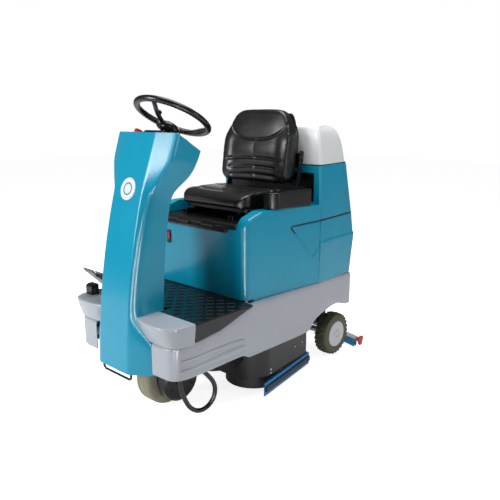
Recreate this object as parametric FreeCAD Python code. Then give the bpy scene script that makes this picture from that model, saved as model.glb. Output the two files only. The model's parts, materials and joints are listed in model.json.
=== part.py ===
import FreeCAD, Part
import math
import os

# Ride-on floor scrubber. +Z is up, -Y is the driving direction, +X is the driver's left.
# The origin is on the floor, under the middle of the machine's length and width. Millimetres.

os.makedirs("parts", exist_ok=True)

# overall
LENGTH = 1490.0
HALF_LENGTH = LENGTH / 2
SIDE_X = 342.0              # outer face of the lower body
DECK_HALF = 352.0           # the foot deck is the widest part
DECK_TOP = 490.0

# front wheel and steering
FRONT_Y = -470.0
FRONT_RADIUS = 135.0
FRONT_WIDTH = 90.0
STEER_TILT = math.radians(27.5)
WHEEL_CENTRE = (0.0, -378.5, 1284.0)
RIM_RADIUS = 160.0
RIM_TUBE = 14.0
SHAFT_R = 12.0
COLUMN_R = 15.0
JOINT_DROP = 458.0          # universal joint, this far down the column from the rim's centre

# rear wheels
REAR_Y = 504.0
REAR_RADIUS = 118.0
REAR_INNER = 220.0
REAR_OUTER = 292.0
AXLE_R = 15.0

# tanks
BASE_FRONT = -251.0
BASE_HALF_FRONT = 304.0
BELT_HALF = 331.0
SEAM_Y = 267.0
REAR_HALF = 300.0
TANK_SPLIT = 786.0
TANK_TOP = 1053.0
PLATE_Z = 803.0
CHANNEL_HALF = 250.0

# dashboard slope, from its front edge to its rear edge
DASH_FRONT = (-519.0, 1223.0)
DASH_REAR = (-397.0, 1147.0)

# brush deck
BRUSH_X = 145.0
BRUSH_Y = -20.0
BRUSH_RADIUS = 140.0
DECK_LOW = 75.0
DECK_HIGH = 228.0

# squeegee
SQUEEGEE_PIVOT = (550.0, 240.0)
SQUEEGEE_HALF = 325.0
SQUEEGEE_BOW = 1063.0
SQUEEGEE_REAR = 738.0
GUARD_REACH = HALF_LENGTH - SQUEEGEE_REAR + 4     # the guard rail is the machine's rearmost edge

RUN = 0.05                  # radial clearance of every running fit
GAP = 1.0                   # joint line between neighbouring mouldings


def vec(x, y, z):
    return FreeCAD.Vector(x, y, z)


def box(x0, x1, y0, y1, z0, z1):
    return Part.makeBox(x1 - x0, y1 - y0, z1 - z0, vec(x0, y0, z0))


def rod(start, end, radius):
    way = end - start
    return Part.makeCylinder(radius, way.Length, start, way)


def tube(start, end, outer, inner):
    return rod(start, end, outer).cut(rod(start, end, inner))


def flip(shape):
    return shape.mirror(vec(0, 0, 0), vec(1, 0, 0))


def both(shape):
    return [shape, flip(shape)]


def join(shapes):
    whole = shapes[0].multiFuse(shapes[1:])
    return whole.removeSplitter()


def placer(axis, level):
    """Turn two plane coordinates into a point on the plane across an axis."""
    if axis == "x":
        return lambda a, b: vec(level, a, b)
    if axis == "y":
        return lambda a, b: vec(a, level, b)
    return lambda a, b: vec(a, b, level)


def rounded_wire(corners, place):
    """Close straight runs through (a, b, radius) corners, each corner rounded by its radius."""
    count = len(corners)
    stops = []
    for i in range(count):
        a, b, radius = corners[i]
        here = vec(a, b, 0)
        back = vec(corners[i - 1][0], corners[i - 1][1], 0) - here
        ahead = vec(corners[(i + 1) % count][0], corners[(i + 1) % count][1], 0) - here
        back.normalize()
        ahead.normalize()
        if radius <= 0:
            stops.append((here, None, here))
            continue
        half = back.getAngle(ahead) / 2
        reach = radius / math.tan(half)
        bisector = back + ahead
        bisector.normalize()
        middle = here + bisector * (radius / math.sin(half) - radius)
        stops.append((here + back * reach, middle, here + ahead * reach))
    edges = []
    for i in range(count):
        start, middle, end = [p if p is None else place(p.x, p.y) for p in stops[i]]
        if middle is not None:
            edges.append(Part.Arc(start, middle, end).toShape())
        following = stops[(i + 1) % count][0]
        following = place(following.x, following.y)
        if (following - end).Length > 0.001:
            edges.append(Part.LineSegment(end, following).toShape())
    return Part.Wire(edges)


def prism(corners, axis, low, high):
    """Extrude a rounded outline from one level to another along an axis."""
    corners = [tuple(c) + (0,) * (3 - len(c)) for c in corners]
    face = Part.Face(rounded_wire(corners, placer(axis, low)))
    way = {"x": vec(1, 0, 0), "y": vec(0, 1, 0), "z": vec(0, 0, 1)}[axis]
    return face.extrude(way * (high - low))


def mirrored(half):
    """A left-hand outline, front to rear, closed by its mirror image."""
    return list(half) + [(-c[0],) + tuple(c[1:]) for c in reversed(half)]


def stack(levels):
    """Loft straight between outlines, each a height and its rounded corners."""
    wires = [rounded_wire(corners, placer("z", z)) for z, corners in levels]
    return Part.makeLoft(wires, True, True)


def faceted(levels):
    """Join polygons of equal corner count, each a height and its corners, by flat triangles."""
    rings = [[vec(a, b, z) for a, b in corners] for z, corners in levels]
    faces = [Part.Face(Part.makePolygon(ring + [ring[0]])) for ring in (rings[0], rings[-1])]
    count = len(rings[0])
    for low, high in zip(rings, rings[1:]):
        for i in range(count):
            j = (i + 1) % count
            halves = ((low[i], low[j], high[j]), (low[i], high[j], high[i]))
            if i >= count // 2:                                   # the right half mirrors the left
                halves = ((low[i], low[j], high[i]), (low[j], high[j], high[i]))
            for corners in halves:
                faces.append(Part.Face(Part.makePolygon(list(corners) + [corners[0]])))
    shell = Part.makeShell(faces)
    shell.sewShape()
    solid = Part.makeSolid(Part.Shell(shell.Faces))
    return solid if solid.Volume > 0 else solid.reversed()


def save(name, *shapes):
    solids = []
    for shape in shapes:
        for item in shape if isinstance(shape, list) else [shape]:
            solids += item.Solids
    whole = solids[0] if len(solids) == 1 else Part.makeCompound(solids)
    whole.exportStep("parts/" + name + ".step")


# ---- lines that several pieces share

def column_point(drop, across=0.0, side=0.0):
    """A point on the steering column: down it, rearwards across it, and to the left."""
    x, y, z = WHEEL_CENTRE
    sin, cos = math.sin(STEER_TILT), math.cos(STEER_TILT)
    return vec(x + side, y - drop * sin + across * cos, z - drop * cos - across * sin)


def dash_item(shape, x, along):
    """Set a shape, drawn about the origin, on the dashboard slope."""
    run = DASH_REAR[0] - DASH_FRONT[0]
    fall = DASH_FRONT[1] - DASH_REAR[1]
    slope = math.atan2(fall, run)
    spot = vec(x, DASH_FRONT[0] + along * math.cos(slope), DASH_FRONT[1] - along * math.sin(slope))
    moved = shape.copy()
    moved.Placement = FreeCAD.Placement(spot, FreeCAD.Rotation(vec(1, 0, 0), -math.degrees(slope)))
    return moved


# height, then half width and y of the front corner, the side's front edge and the side's rear edge
COWL_LEVELS = [
    (250, (100, -745), (197, -682), (197, -640)),
    (366, (98, -738), (200, -680), (200, -640)),
    (430, (97, -733), (152, -694), (152, -600)),
    (490, (96, -727), (118, -699), (118, -560)),
    (600, (96, -716), (118, -691), (118, -553)),
    (780, (95, -683), (119, -660), (120, -538)),
    (953, (93, -640), (122, -618), (126, -515)),
    (989, (92, -628), (126, -606), (140, -503)),
    (1041, (92, -611), (150, -588), (178, -447)),
    (1100, (91, -590), (188, -560), (190, -418)),
    (1147, (91, -573), (192, -545), (192, -397)),
    (1240, (91, -539), (192, -512), (192, -397)),
]


def cowl_solid(inset, rear_reach):
    """The cowl's outer volume, drawn in by an inset and carried rearwards by a reach."""
    levels = []
    for z, front, side, rear in COWL_LEVELS:
        spread = (rear[0] - side[0]) / (rear[1] - side[1])        # the side faces splay rearwards
        half = [(front[0] - inset * 0.7, front[1] + inset), (side[0] - inset, side[1] + inset * 0.8),
                (rear[0] - inset + spread * rear_reach, rear[1] + rear_reach)]
        levels.append((z, mirrored(half)))
    return faceted(levels)


def above_dash(drop):
    """All the space above the dashboard slope lowered by a drop."""
    front_z = DASH_FRONT[1] - drop
    rear_z = DASH_REAR[1] - drop
    return prism([(-900, front_z), (DASH_FRONT[0], front_z), (DASH_REAR[0], rear_z), (-300, rear_z),
                  (-300, 1400), (-900, 1400)], "x", -300, 300)


# lower body outline in plan, left half, front to rear
def body_half(inset):
    return [(SIDE_X - 140 - inset, -692 + inset, 0), (SIDE_X - 30 - inset, -692 + inset, 40),
            (SIDE_X - inset, -600 + inset, 60), (SIDE_X - inset, 160, 200),
            (316 - inset, 606 - inset, 32)]


# top edge of the lower body, front to rear
BODY_TOP = [(-800, 396), (-640, 406, 200), (-450, 424, 200), (-290, 470, 60), (-230, 480, 60), (294, 472), (700, 456)]


def below_body_top(rise):
    edge = [(c[0], c[1] + rise) + tuple(c[2:]) for c in BODY_TOP]
    return prism(edge + [(700, 100), (-800, 100)], "x", -400, 400)


def base_half(inset):
    return [(BASE_HALF_FRONT - inset, BASE_FRONT + inset, 30), (BELT_HALF - inset, SEAM_Y - GAP, 0)]


def rear_half(front_half, rear_half_width, rear_y, radius=32):
    return [(front_half, SEAM_Y, 4), (rear_half_width, rear_y, radius)]


# ---- frame and running gear

def chassis_frame():
    """Bars and plates that butt against each other, as they are before welding."""
    bars = both(box(235, 275, -600, 560, 335, 375))
    for y0, y1 in ((-400, -360), (-260, -220), (90, 130), (200, 240), (480, 560)):
        bars.append(box(-235, 235, y0, y1, 335, 375))
    bars[4] = bars[4].cut(rod(vec(0, 110, 300), vec(0, 110, 400), 22 + RUN))
    bars.append(box(-275, 275, -636, -600, 335, 350))
    nose = box(-130, 130, -600, -400, 335, 350)
    bars.append(nose.cut(rod(vec(0, FRONT_Y, 300), vec(0, FRONT_Y, 400), 38 + RUN)))
    axle = rod(vec(-200, REAR_Y, REAR_RADIUS), vec(200, REAR_Y, REAR_RADIUS), AXLE_R + RUN)
    bars += both(box(180, 192, 470, 538, 62, 335).cut(axle))      # rear axle brackets
    y, z = SQUEEGEE_PIVOT
    bars += both(box(40, 52, 528, 566, 222, 335).cut(rod(vec(30, y, z), vec(60, y, z), 8 + RUN)))
    bars += both(box(100, 112, 530, 570, 226, 335).cut(rod(vec(90, 550, 245), vec(120, 550, 245), 9)))
    plate = box(235, 304, -640, -486, 277, 283)
    for x, y in HOSE_ENDS:
        plate = plate.cut(rod(vec(x, y, 270), vec(x, y, 290), 9))
    bars += both(plate)
    bars += both(box(255, 261, -600, -486, 283, 335))
    return bars


# free hose under the front left corner: its route, end to end
HOSE_R = 10.0
HOSE = [(276, -622, 250), (277, -612, 196), (278, -594, 140), (281, -566, 90), (286, -520, 62), (291, -470, 70),
        (294, -436, 108), (293, -434, 160), (289, -468, 210), (284, -506, 250)]
HOSE_ENDS = [(HOSE[0][0], HOSE[0][1]), (HOSE[-1][0], HOSE[-1][1])]


def hose_path(route):
    """Straight runs joined by tangent arcs, each as large as its two runs allow."""
    points = [vec(*p) for p in route]
    edges = []
    here = points[0]
    for i in range(1, len(points) - 1):
        back = points[i - 1] - points[i]
        ahead = points[i + 1] - points[i]
        turn = math.pi - back.getAngle(ahead)
        reach = 0.45 * min(back.Length, ahead.Length)
        radius = reach / math.tan(turn / 2)
        print("hose bend radius %.0f mm" % radius)
        back.normalize()
        ahead.normalize()
        start = points[i] + back * reach
        end = points[i] + ahead * reach
        bisector = back + ahead
        bisector.normalize()
        middle = points[i] + bisector * (radius / math.cos(turn / 2) - radius)
        edges.append(Part.LineSegment(here, start).toShape())
        edges.append(Part.Arc(start, middle, end).toShape())
        here = end
    edges.append(Part.LineSegment(here, points[-1]).toShape())
    return Part.Wire(edges)


def drain_hose():
    path = hose_path(HOSE)
    start = vec(*HOSE[0])
    ring = Part.Wire(Part.makeCircle(HOSE_R, start, vec(*HOSE[1]) - start))
    hose = path.makePipeShell([ring], True, False)
    print("hose length %.0f mm, volume over section times length %.3f"
          % (path.Length, hose.Volume / (math.pi * HOSE_R ** 2 * path.Length)))
    return hose


def hose_fittings():
    fittings = []
    for x, y in HOSE_ENDS:
        nut = prism([(x + 17 * math.cos(math.radians(60 * i)), y + 17 * math.sin(math.radians(60 * i)))
                     for i in range(6)], "z", 262, 276)
        collar = rod(vec(x, y, 250.4), vec(x, y, 262), 14)
        stem = rod(vec(x, y, 276), vec(x, y, 306), 8.8)
        fittings.append(join([nut, collar, stem]))
    return fittings


def tow_bar():
    """A round bar bent down from the nose and back up."""
    half, y, low, high, bend = 96.0, -726.0, 217.0, 300.0, 16.0
    turns = []
    for sign in (-1, 1):
        middle = bend * (1 - math.sqrt(0.5))
        turns.append((vec(sign * half, y, low + bend), vec(sign * (half - middle), y, low + middle),
                      vec(sign * (half - bend), y, low)))
    left, right = turns[1], turns[0]
    path = Part.Wire([
        Part.LineSegment(vec(-half, y, high), right[0]).toShape(),
        Part.Arc(right[0], right[1], right[2]).toShape(),
        Part.LineSegment(right[2], left[2]).toShape(),
        Part.Arc(left[2], left[1], left[0]).toShape(),
        Part.LineSegment(left[0], vec(half, y, high)).toShape(),
    ])
    ring = Part.Wire(Part.makeCircle(5, vec(-half, y, high), vec(0, 0, -1)))
    return path.makePipeShell([ring], True, False)


def steering_bearing():
    return tube(vec(0, FRONT_Y, 322), vec(0, FRONT_Y, 350), 38, 20 + RUN)


def front_fork():
    crown = box(-67, 67, -515, -425, 286, 298)
    legs = [box(-67, -55, -525, -415, 100, 286), box(55, 67, -525, -415, 100, 286)]
    stem = rod(vec(0, FRONT_Y, 298), vec(0, FRONT_Y, 430), 20)
    fork = join([crown, stem] + legs)
    return fork.cut(rod(vec(-80, FRONT_Y, FRONT_RADIUS), vec(80, FRONT_Y, FRONT_RADIUS), AXLE_R + RUN))


def drive_motor():
    """Traction motor, bolted outside the fork's left leg."""
    z = FRONT_RADIUS
    case = rod(vec(67.2, FRONT_Y, z), vec(112, FRONT_Y, z), 98)
    nose = Part.makeCone(98, 86, 8, vec(112, FRONT_Y, z), vec(1, 0, 0))
    cap = rod(vec(120, FRONT_Y, z), vec(128, FRONT_Y, z), 34)
    bolts = []
    for i in range(6):
        turn = math.radians(60 * i + 30)
        y, up = FRONT_Y + 66 * math.cos(turn), z + 66 * math.sin(turn)
        bolts.append(rod(vec(119, y, up), vec(125, y, up), 7))
    motor = join([case, nose, cap] + bolts)
    return motor.cut(rod(vec(60, FRONT_Y, z), vec(100, FRONT_Y, z), AXLE_R + RUN))


def ring_profile(points, centre_y, centre_z):
    """Turn a closed (x, radius) outline about a wheel's axle."""
    corners = [vec(x, centre_y, centre_z + radius) for x, radius in points]
    face = Part.Face(Part.makePolygon(corners + [corners[0]]))
    return face.revolve(vec(0, centre_y, centre_z), vec(1, 0, 0), 360)


def front_tyre():
    half, r = FRONT_WIDTH / 2, FRONT_RADIUS
    return ring_profile([(-half, 96), (-half, r - 14), (-half + 5, r - 5), (-half + 14, r), (half - 14, r),
                         (half - 5, r - 5), (half, r - 14), (half, 96)], FRONT_Y, r)


def front_rim():
    r = FRONT_RADIUS
    rim = ring_profile([(-40, 80), (-40, 96), (40, 96), (40, 80), (8, 76), (8, 30), (30, 30), (30, 10), (-30, 10),
                        (-30, 30), (-8, 30), (-8, 76)], FRONT_Y, r)
    return join([rim, rod(vec(-76, FRONT_Y, r), vec(98, FRONT_Y, r), AXLE_R)])


def rear_wheel():
    """Left tyre, rim and hub cover."""
    inner, outer, r = REAR_INNER, REAR_OUTER, REAR_RADIUS
    tyre = ring_profile([(inner, 72), (inner, r - 10), (inner + 8, r - 2), (outer - 8, r - 2), (outer, r - 10),
                         (outer, 72)], REAR_Y, r)
    bars = []
    lugs = 30
    for i in range(lugs):
        lug = box(inner + 4, outer - 4, REAR_Y - 6, REAR_Y + 6, 2 * r - 12, 2 * r)
        lug = lug.common(rod(vec(inner, REAR_Y, r), vec(outer, REAR_Y, r), r))
        lug.rotate(vec(0, REAR_Y, r), vec(1, 0, 0), 360.0 / lugs * i)
        bars.append(lug)
    tyre = join([tyre] + bars)
    rim = ring_profile([(inner + 6, 60), (inner + 6, 72), (outer - 6, 72), (outer - 6, 40), (outer - 2, 30),
                        (outer - 2, AXLE_R + RUN), (inner + 2, AXLE_R + RUN), (inner + 2, 30), (outer - 14, 34),
                        (outer - 14, 60)], REAR_Y, r)
    cover = ring_profile([(outer - 5.8, 40.2), (outer - 5.8, 71), (outer - 1, 71), (outer + 1, 68), (outer + 1, 26),
                          (outer + 7, 22), (outer + 7, 16.5), (outer - 1.8, 16.5), (outer - 1.8, 30.2)], REAR_Y, r)
    return tyre, rim, cover


def rear_axle():
    z = REAR_RADIUS
    return rod(vec(-REAR_OUTER - 6, REAR_Y, z), vec(REAR_OUTER + 6, REAR_Y, z), AXLE_R)


# ---- lower body, deck and nose

def lower_body():
    outer = prism(mirrored(body_half(0)), "z", 236, 500)
    inner = prism(mirrored(body_half(8)), "z", 230, 510)
    shell = outer.cut(inner).common(below_body_top(0))
    rear = prism([(177, 100), (177, 238), (240, 292, 60), (439, 322, 140), (534, 284, 30), (560, 284), (650, 284),
                  (650, 100)], "x", -400, 400)                    # wheel arches and rear edge
    nose = prism([(-800, 100), (-800, 262), (-300, 262, 10), (-272, 244), (-272, 100)], "x", -400, 400)
    shell = shell.cut(rear).cut(nose).cut(cowl_solid(-GAP, GAP))
    shell = shell.cut(box(-200, 200, -720, -600, 230, 500))
    rib = prism([(-640, 318), (-640, 356), (-330, 350, 20), (-286, 300), (-286, 282)], "x", 300, SIDE_X + 5)
    band = prism(mirrored(body_half(-5)), "z", 280, 400).cut(prism(mirrored(body_half(3)), "z", 270, 410))
    ribs = both(rib.common(band))
    return join([shell] + ribs)


def floor_pan():
    """Steel foot deck with side walls that stand on the lower body's edge."""
    plate = box(-DECK_HALF, DECK_HALF, -588, -254, 470, 484)
    walls = both(box(DECK_HALF - 24, DECK_HALF, -588, -254, 400, 470))
    pan = join([plate] + walls)
    pan = pan.cut(below_body_top(GAP))
    return pan.cut(cowl_solid(-GAP, 40))


def foot_mat():
    mat = box(-DECK_HALF + 4, DECK_HALF - 4, -586, -254, 484, DECK_TOP)
    return mat.cut(cowl_solid(-GAP, 40))


def corner_cover():
    """Left front corner moulding between the cowl and the foot deck."""
    def half(inset):
        return [(60, -735 + inset, 0), (200, -733 + inset, 60), (348 - inset, -664 + inset, 95 - 2 * inset),
                (DECK_HALF - inset, -590 - inset, 0), (60, -590 - inset, 0)]
    cover = prism(half(0), "z", 380, DECK_TOP).cut(prism(half(7), "z", 370, DECK_TOP - 7))
    cover = cover.cut(below_body_top(GAP))
    return cover.cut(cowl_solid(-GAP, 160)).cut(box(0, 400, -800, -500, 300, 399))


def cowl_shell():
    shell = cowl_solid(0, 0).cut(above_dash(0))
    hollow = cowl_solid(5, 20).cut(above_dash(6))
    hollow = hollow.fuse(box(-180, 180, -738, -500, 240, 256))
    shell = shell.cut(hollow)
    return shell.cut(rod(column_point(60), column_point(260), 24))


def cowl_rear_cover():
    """Panel that closes the cowl towards the driver, from the deck to the dashboard."""
    levels = []
    for z, front, side, rear in COWL_LEVELS:
        if z < 490:
            continue
        half = [(rear[0] - 12, rear[1] - 8), (rear[0] - 12, rear[1] - 3)]
        levels.append((max(z, DECK_TOP + 2), mirrored(half)))
    panel = faceted(levels).cut(above_dash(7))
    return panel.cut(rod(column_point(60), column_point(300), 24))


def badge():
    """Plain round badge on the nose, square to its slope."""
    slope = math.radians(18.2)
    out = vec(0, -math.cos(slope), math.sin(slope))
    centre = vec(0, -625.6, 997) + out * 0.6
    return rod(centre, centre + out * 2.5, 47)


def steering_mast():
    """Legs from the frame to the clamp that holds the column."""
    legs = both(box(52, 80, -610, -582, 350.5, 930))
    mast = join([box(-80, 80, -610, -545, 900, 930)] + legs)
    return mast.cut(rod(column_point(300), column_point(470), COLUMN_R + RUN))


# ---- steering

def column_tube():
    return tube(column_point(82), column_point(430), COLUMN_R, SHAFT_R + RUN)


def steering_shaft():
    return rod(column_point(66), column_point(434), SHAFT_R)


def lower_shaft():
    x, y, z = column_point(JOINT_DROP)
    shaft = rod(vec(x, y, 392), vec(x, y, z), 10)
    return join([shaft, Part.makeSphere(20, vec(x, y, z))])


def steering_wheel():
    rim = Part.makeTorus(RIM_RADIUS, RIM_TUBE, column_point(0), column_point(0) - column_point(1))
    hub = rod(column_point(72), column_point(34), 34)
    collar = rod(column_point(78), column_point(72), 26)
    spokes = []
    for degrees in (45, 165, 285):
        turn = math.radians(degrees)
        inner = column_point(56, 20 * math.sin(turn), 20 * math.cos(turn))
        knee = column_point(38, 96 * math.sin(turn), 96 * math.cos(turn))
        outer = column_point(4, 156 * math.sin(turn), 156 * math.cos(turn))
        spokes.append(rod(inner, knee, 10))
        spokes.append(Part.makeSphere(10, knee))
        spokes.append(rod(knee, outer, 10))
    wheel = join([rim, hub, collar] + spokes)
    wheel = wheel.cut(rod(column_point(90), column_point(66), SHAFT_R))
    return wheel.cut(rod(column_point(46), column_point(30), 24 + RUN))


def horn_button():
    return rod(column_point(41), column_point(29), 24)


def belt(centre_a, radius_a, centre_b, radius_b, z0, z1):
    """The filled outline of a belt round two discs on one line along Y, a in front of b."""
    gap = centre_b - centre_a
    lean = math.asin((radius_b - radius_a) / gap)
    cos, sin = math.cos(lean), math.sin(lean)
    a = [vec(s * radius_a * cos, centre_a - radius_a * sin, z0) for s in (1, -1)]
    b = [vec(s * radius_b * cos, centre_b - radius_b * sin, z0) for s in (1, -1)]
    wire = Part.Wire([
        Part.LineSegment(a[0], b[0]).toShape(),
        Part.Arc(b[0], vec(0, centre_b + radius_b, z0), b[1]).toShape(),
        Part.LineSegment(b[1], a[1]).toShape(),
        Part.Arc(a[1], vec(0, centre_a - radius_a, z0), a[0]).toShape(),
    ])
    return Part.Face(wire).extrude(vec(0, 0, z1 - z0))


def steering_chain():
    front = column_point(JOINT_DROP).y
    outer = belt(front, 30, FRONT_Y, 74, 395, 405)
    return outer.cut(belt(front, 24.4, FRONT_Y, 68.4, 390, 410))


def sprocket(centre_y, radius, shaft_radius):
    """A toothed disc pressed on its shaft."""
    disc = rod(vec(0, centre_y, 394), vec(0, centre_y, 406), radius)
    return disc.cut(rod(vec(0, centre_y, 390), vec(0, centre_y, 410), shaft_radius))


def dashboard():
    """Black binnacle round the column."""
    block = prism([(-505, 1215.2), (-399, 1149.2), (-388, 1186, 8), (-440, 1216, 20), (-478, 1230, 8)],
                  "x", -62, 62)
    return block.cut(rod(column_point(60), column_point(200), COLUMN_R + RUN))


def gear_lever():
    boss = rod(vec(62.4, -422, 1196), vec(74, -422, 1196), 9)
    stick = rod(vec(70, -421, 1198), vec(87, -410, 1224), 3.5)
    return join([boss, stick, Part.makeSphere(10, vec(88, -409, 1226))])


def dash_pieces():
    """The controls set into the dashboard slope."""
    base = tube(vec(0, 0, 0.3), vec(0, 0, 12), 21, 9)
    stalk = rod(vec(0, 0, 6), vec(0, 0, 26), 8.9)
    save("stop_button", dash_item(join([stalk, rod(vec(0, 0, 24), vec(0, 0, 42), 19)]), -150, 62))
    screen = box(-34, 34, -24, 24, 0.3, 7)
    save("display_panel", dash_item(screen, 118, 62))
    lock = tube(vec(0, 0, 0.3), vec(0, 0, 9), 13, 5.05)
    key = join([rod(vec(0, 0, 0.6), vec(0, 0, 12), 5), box(-2, 2, -11, 11, 12, 34)])
    save("dash_fittings", dash_item(base, -150, 62), dash_item(lock, 112, 116))
    save("key", dash_item(key, 112, 116))
    knob = join([rod(vec(0, 0, 0.4), vec(0, 0, 16), 15), box(-2, 2, -15, 15, 16, 20)])
    save("flow_knob", dash_item(knob, -104, 112))


def pedal(x0, x1):
    """A foot pedal hinged at its heel, drawn between its side edges."""
    blade = prism([(-548, 502), (-654, 604, 6), (-664, 618, 6), (-670, 622), (-664, 606), (-548, 494)], "x", x0, x1)
    y, z = PEDAL_PIVOT
    barrel = rod(vec(x0, y, z), vec(x1, y, z), 9)
    return join([blade, barrel]).cut(rod(vec(x0 - 5, y, z), vec(x1 + 5, y, z), 5 + RUN))


PEDAL_PIVOT = (-545.0, 502.0)
PEDALS = {"accelerator": (-310.0, -235.0), "brake": (-216.0, -156.0)}


def pedal_bracket(x0, x1):
    y, z = PEDAL_PIVOT
    foot = box(x0 - 8, x1 + 8, y + 12, y + 26, DECK_TOP + 0.3, DECK_TOP + 4)
    ears = []
    for x in (x0 - 8, x1 + 2):
        ears.append(box(x, x + 6, y - 8, y + 26, DECK_TOP + 0.3, z + 10))
    pin = rod(vec(x0 - 9, y, z), vec(x1 + 9, y, z), 5)
    return join([foot, pin] + ears)


def pedal_sensor():
    """Sensor box in front of the accelerator, under its blade."""
    return prism([(-652, 490.5), (-652, 530, 8), (-640, 538, 8), (-614, 538, 4), (-614, 490.5)], "x", -324, -278)


# ---- tanks and seat base

def flap_outline(shrink):
    """Side inset: a low pointed shape under the tank seam."""
    return [(47 + 2.4 * shrink, 784 - shrink, 8), (214, 614 + 1.4 * shrink, 14),
            (SEAM_Y - 2 - shrink, 662 + 0.6 * shrink, 3), (SEAM_Y - 2 - shrink, 784 - shrink, 3)]


def side_skin(depth):
    skin = prism(mirrored(base_half(0)), "z", 500, 860).cut(prism(mirrored(base_half(depth)), "z", 490, 870))
    return skin.common(box(280, 360, -100, 300, 500, 860))


def seat_base():
    """Solution tank that carries the seat, with the battery bay inside."""
    base = prism(mirrored(base_half(0)), "z", 440, 900)
    base = base.cut(below_body_top(GAP)).cut(box(-400, 400, -260, -200, 400, DECK_TOP + GAP))
    crown = prism([(-300, 700), (-252, 812), (-225, 852, 60), (-142, 878, 60), (300, 865), (300, 950), (-300, 950)],
                  "x", -400, 400)
    base = base.cut(crown)
    base = base.cut(box(-CHANNEL_HALF, CHANNEL_HALF, -300, 300, PLATE_Z - GAP, 950))
    base = base.cut(box(-232, 232, BASE_FRONT + 14, SEAM_Y - 12, 500, 900))
    recess = prism(flap_outline(0), "x", 280, 360).common(side_skin(4))
    return base.cut(recess).cut(flip(recess))


def side_inset():
    return prism(flap_outline(1.2), "x", 280, 360).common(side_skin(3.4))


def batteries():
    cells = []
    for x0 in (-226, 2):
        for y0 in (-232, 9):
            cell = box(x0, x0 + 224, y0, y0 + 237, 500.5, 740)
            for x, y in ((x0 + 40, y0 + 40), (x0 + 184, y0 + 40)):
                cell = cell.fuse(rod(vec(x, y, 740), vec(x, y, 756), 9))
            cells.append(cell)
    return cells


def rear_body():
    """Lower rear moulding with a crease all round at belt height."""
    shell = stack([
        (455, mirrored(rear_half(333, 306, 608))),
        (676, mirrored(rear_half(335, 312, 626))),
        (TANK_SPLIT - GAP, mirrored(rear_half(BELT_HALF, REAR_HALF, 612))),
    ])
    shell = shell.cut(below_body_top(GAP))
    return shell.cut(box(-284, 284, SEAM_Y + 12, 582, 492, 900))


def recovery_tank():
    tank = stack([
        (TANK_SPLIT, mirrored(rear_half(BELT_HALF, REAR_HALF, 610))),
        (TANK_TOP, mirrored(rear_half(322, 284, 565))),
    ])
    tank = tank.cut(box(-272, 272, SEAM_Y + 30, 520, TANK_SPLIT + 10, TANK_TOP + 10))
    return tank.cut(box(-282, 282, SEAM_Y - 5, SEAM_Y + 14, 872, 1014))


def tank_front_panel():
    """Black ribbed vent panel in the tank's front recess."""
    panel = box(-280, 280, SEAM_Y + 8, SEAM_Y + 13.7, 874, 1012)
    for i in range(6):
        z = 890 + 20 * i
        panel = panel.cut(box(-240, 240, SEAM_Y + 5, SEAM_Y + 10, z, z + 8))
    return panel


def lid_gasket():
    outer = prism(mirrored(rear_half(318, 282, 560)), "z", TANK_TOP + 0.2, TANK_TOP + 4)
    return outer.cut(prism(mirrored([(296, SEAM_Y + 20, 4), (262, 542, 40)]), "z", TANK_TOP, TANK_TOP + 6))


def tank_lid():
    """Grey dome, hollow, hinged at its rear edge."""
    low = TANK_TOP + 4.3
    dome = stack([
        (low, mirrored(rear_half(322, 284, 564, 60))),
        (1140, mirrored([(318, SEAM_Y + 1, 20), (280, 541, 60)])),
        (1215, mirrored([(300, SEAM_Y + 4, 20), (262, 515, 60)])),
        (1248, mirrored([(262, SEAM_Y + 26, 20), (226, 450, 50)])),
    ])
    return dome.cut(stack([
        (low - 1, mirrored([(300, SEAM_Y + 16, 10), (264, 530, 50)])),
        (1200, mirrored([(286, SEAM_Y + 16, 10), (248, 480, 50)])),
        (1238, mirrored([(252, SEAM_Y + 34, 10), (216, 422, 40)])),
    ]))


LID_PIVOT = (579.0, 1052.0)


def lid_hinge():
    """Knuckles on the tank's rear wall with the hinge pin through them."""
    y, z = LID_PIVOT
    parts = [rod(vec(-150, y, z), vec(150, y, z), 5)]
    for x in (-140, 60):
        parts.append(rod(vec(x, y, z), vec(x + 38, y, z), 9))
        parts.append(box(x, x + 38, y - 8, y - 2, 1018, z))
    return join(parts)


def lid_leaf():
    y, z = LID_PIVOT
    leaves = []
    for x in (-100, 102):
        knuckle = rod(vec(x, y, z), vec(x + 38, y, z), 9)
        plate = box(x, x + 38, 566, 573, z, 1090)
        leaf = join([knuckle, plate]).cut(rod(vec(x - 5, y, z), vec(x + 45, y, z), 5 + RUN))
        leaves.append(leaf)
    return leaves


def console():
    """Left side console on the seat base's shoulder, round in front."""
    shape = prism([(253, -77, 6), (321, -77, 44), (326, 195, 6), (253, 195, 6)], "z", 870, 952)
    shoulder = prism([(-300, 700), (-252, 812), (-225, 852, 60), (-142, 878, 60), (300, 865), (300, 700)],
                     "x", -400, 400)
    lift = shoulder.copy()
    lift.translate(vec(0, 0, 0.4))
    return shape.cut(lift)


# ---- seat

SEAT_PIVOT = (-263.0, 795.0)
BACK_PIVOT = (190.0, 906.0)


def hinge_spans(moving):
    return [(-118, -42), (42, 118)] if moving else [(-200, -120), (-40, 40), (120, 200)]


def seat_hinge():
    y, z = SEAT_PIVOT
    parts = [rod(vec(-206, y, z), vec(206, y, z), 5)]
    for x0, x1 in hinge_spans(False):
        parts.append(rod(vec(x0, y, z), vec(x1, y, z), 9))
        parts.append(box(x0, x1, y + 5, BASE_FRONT - 0.3, z - 11, z))
    return join(parts)


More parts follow.
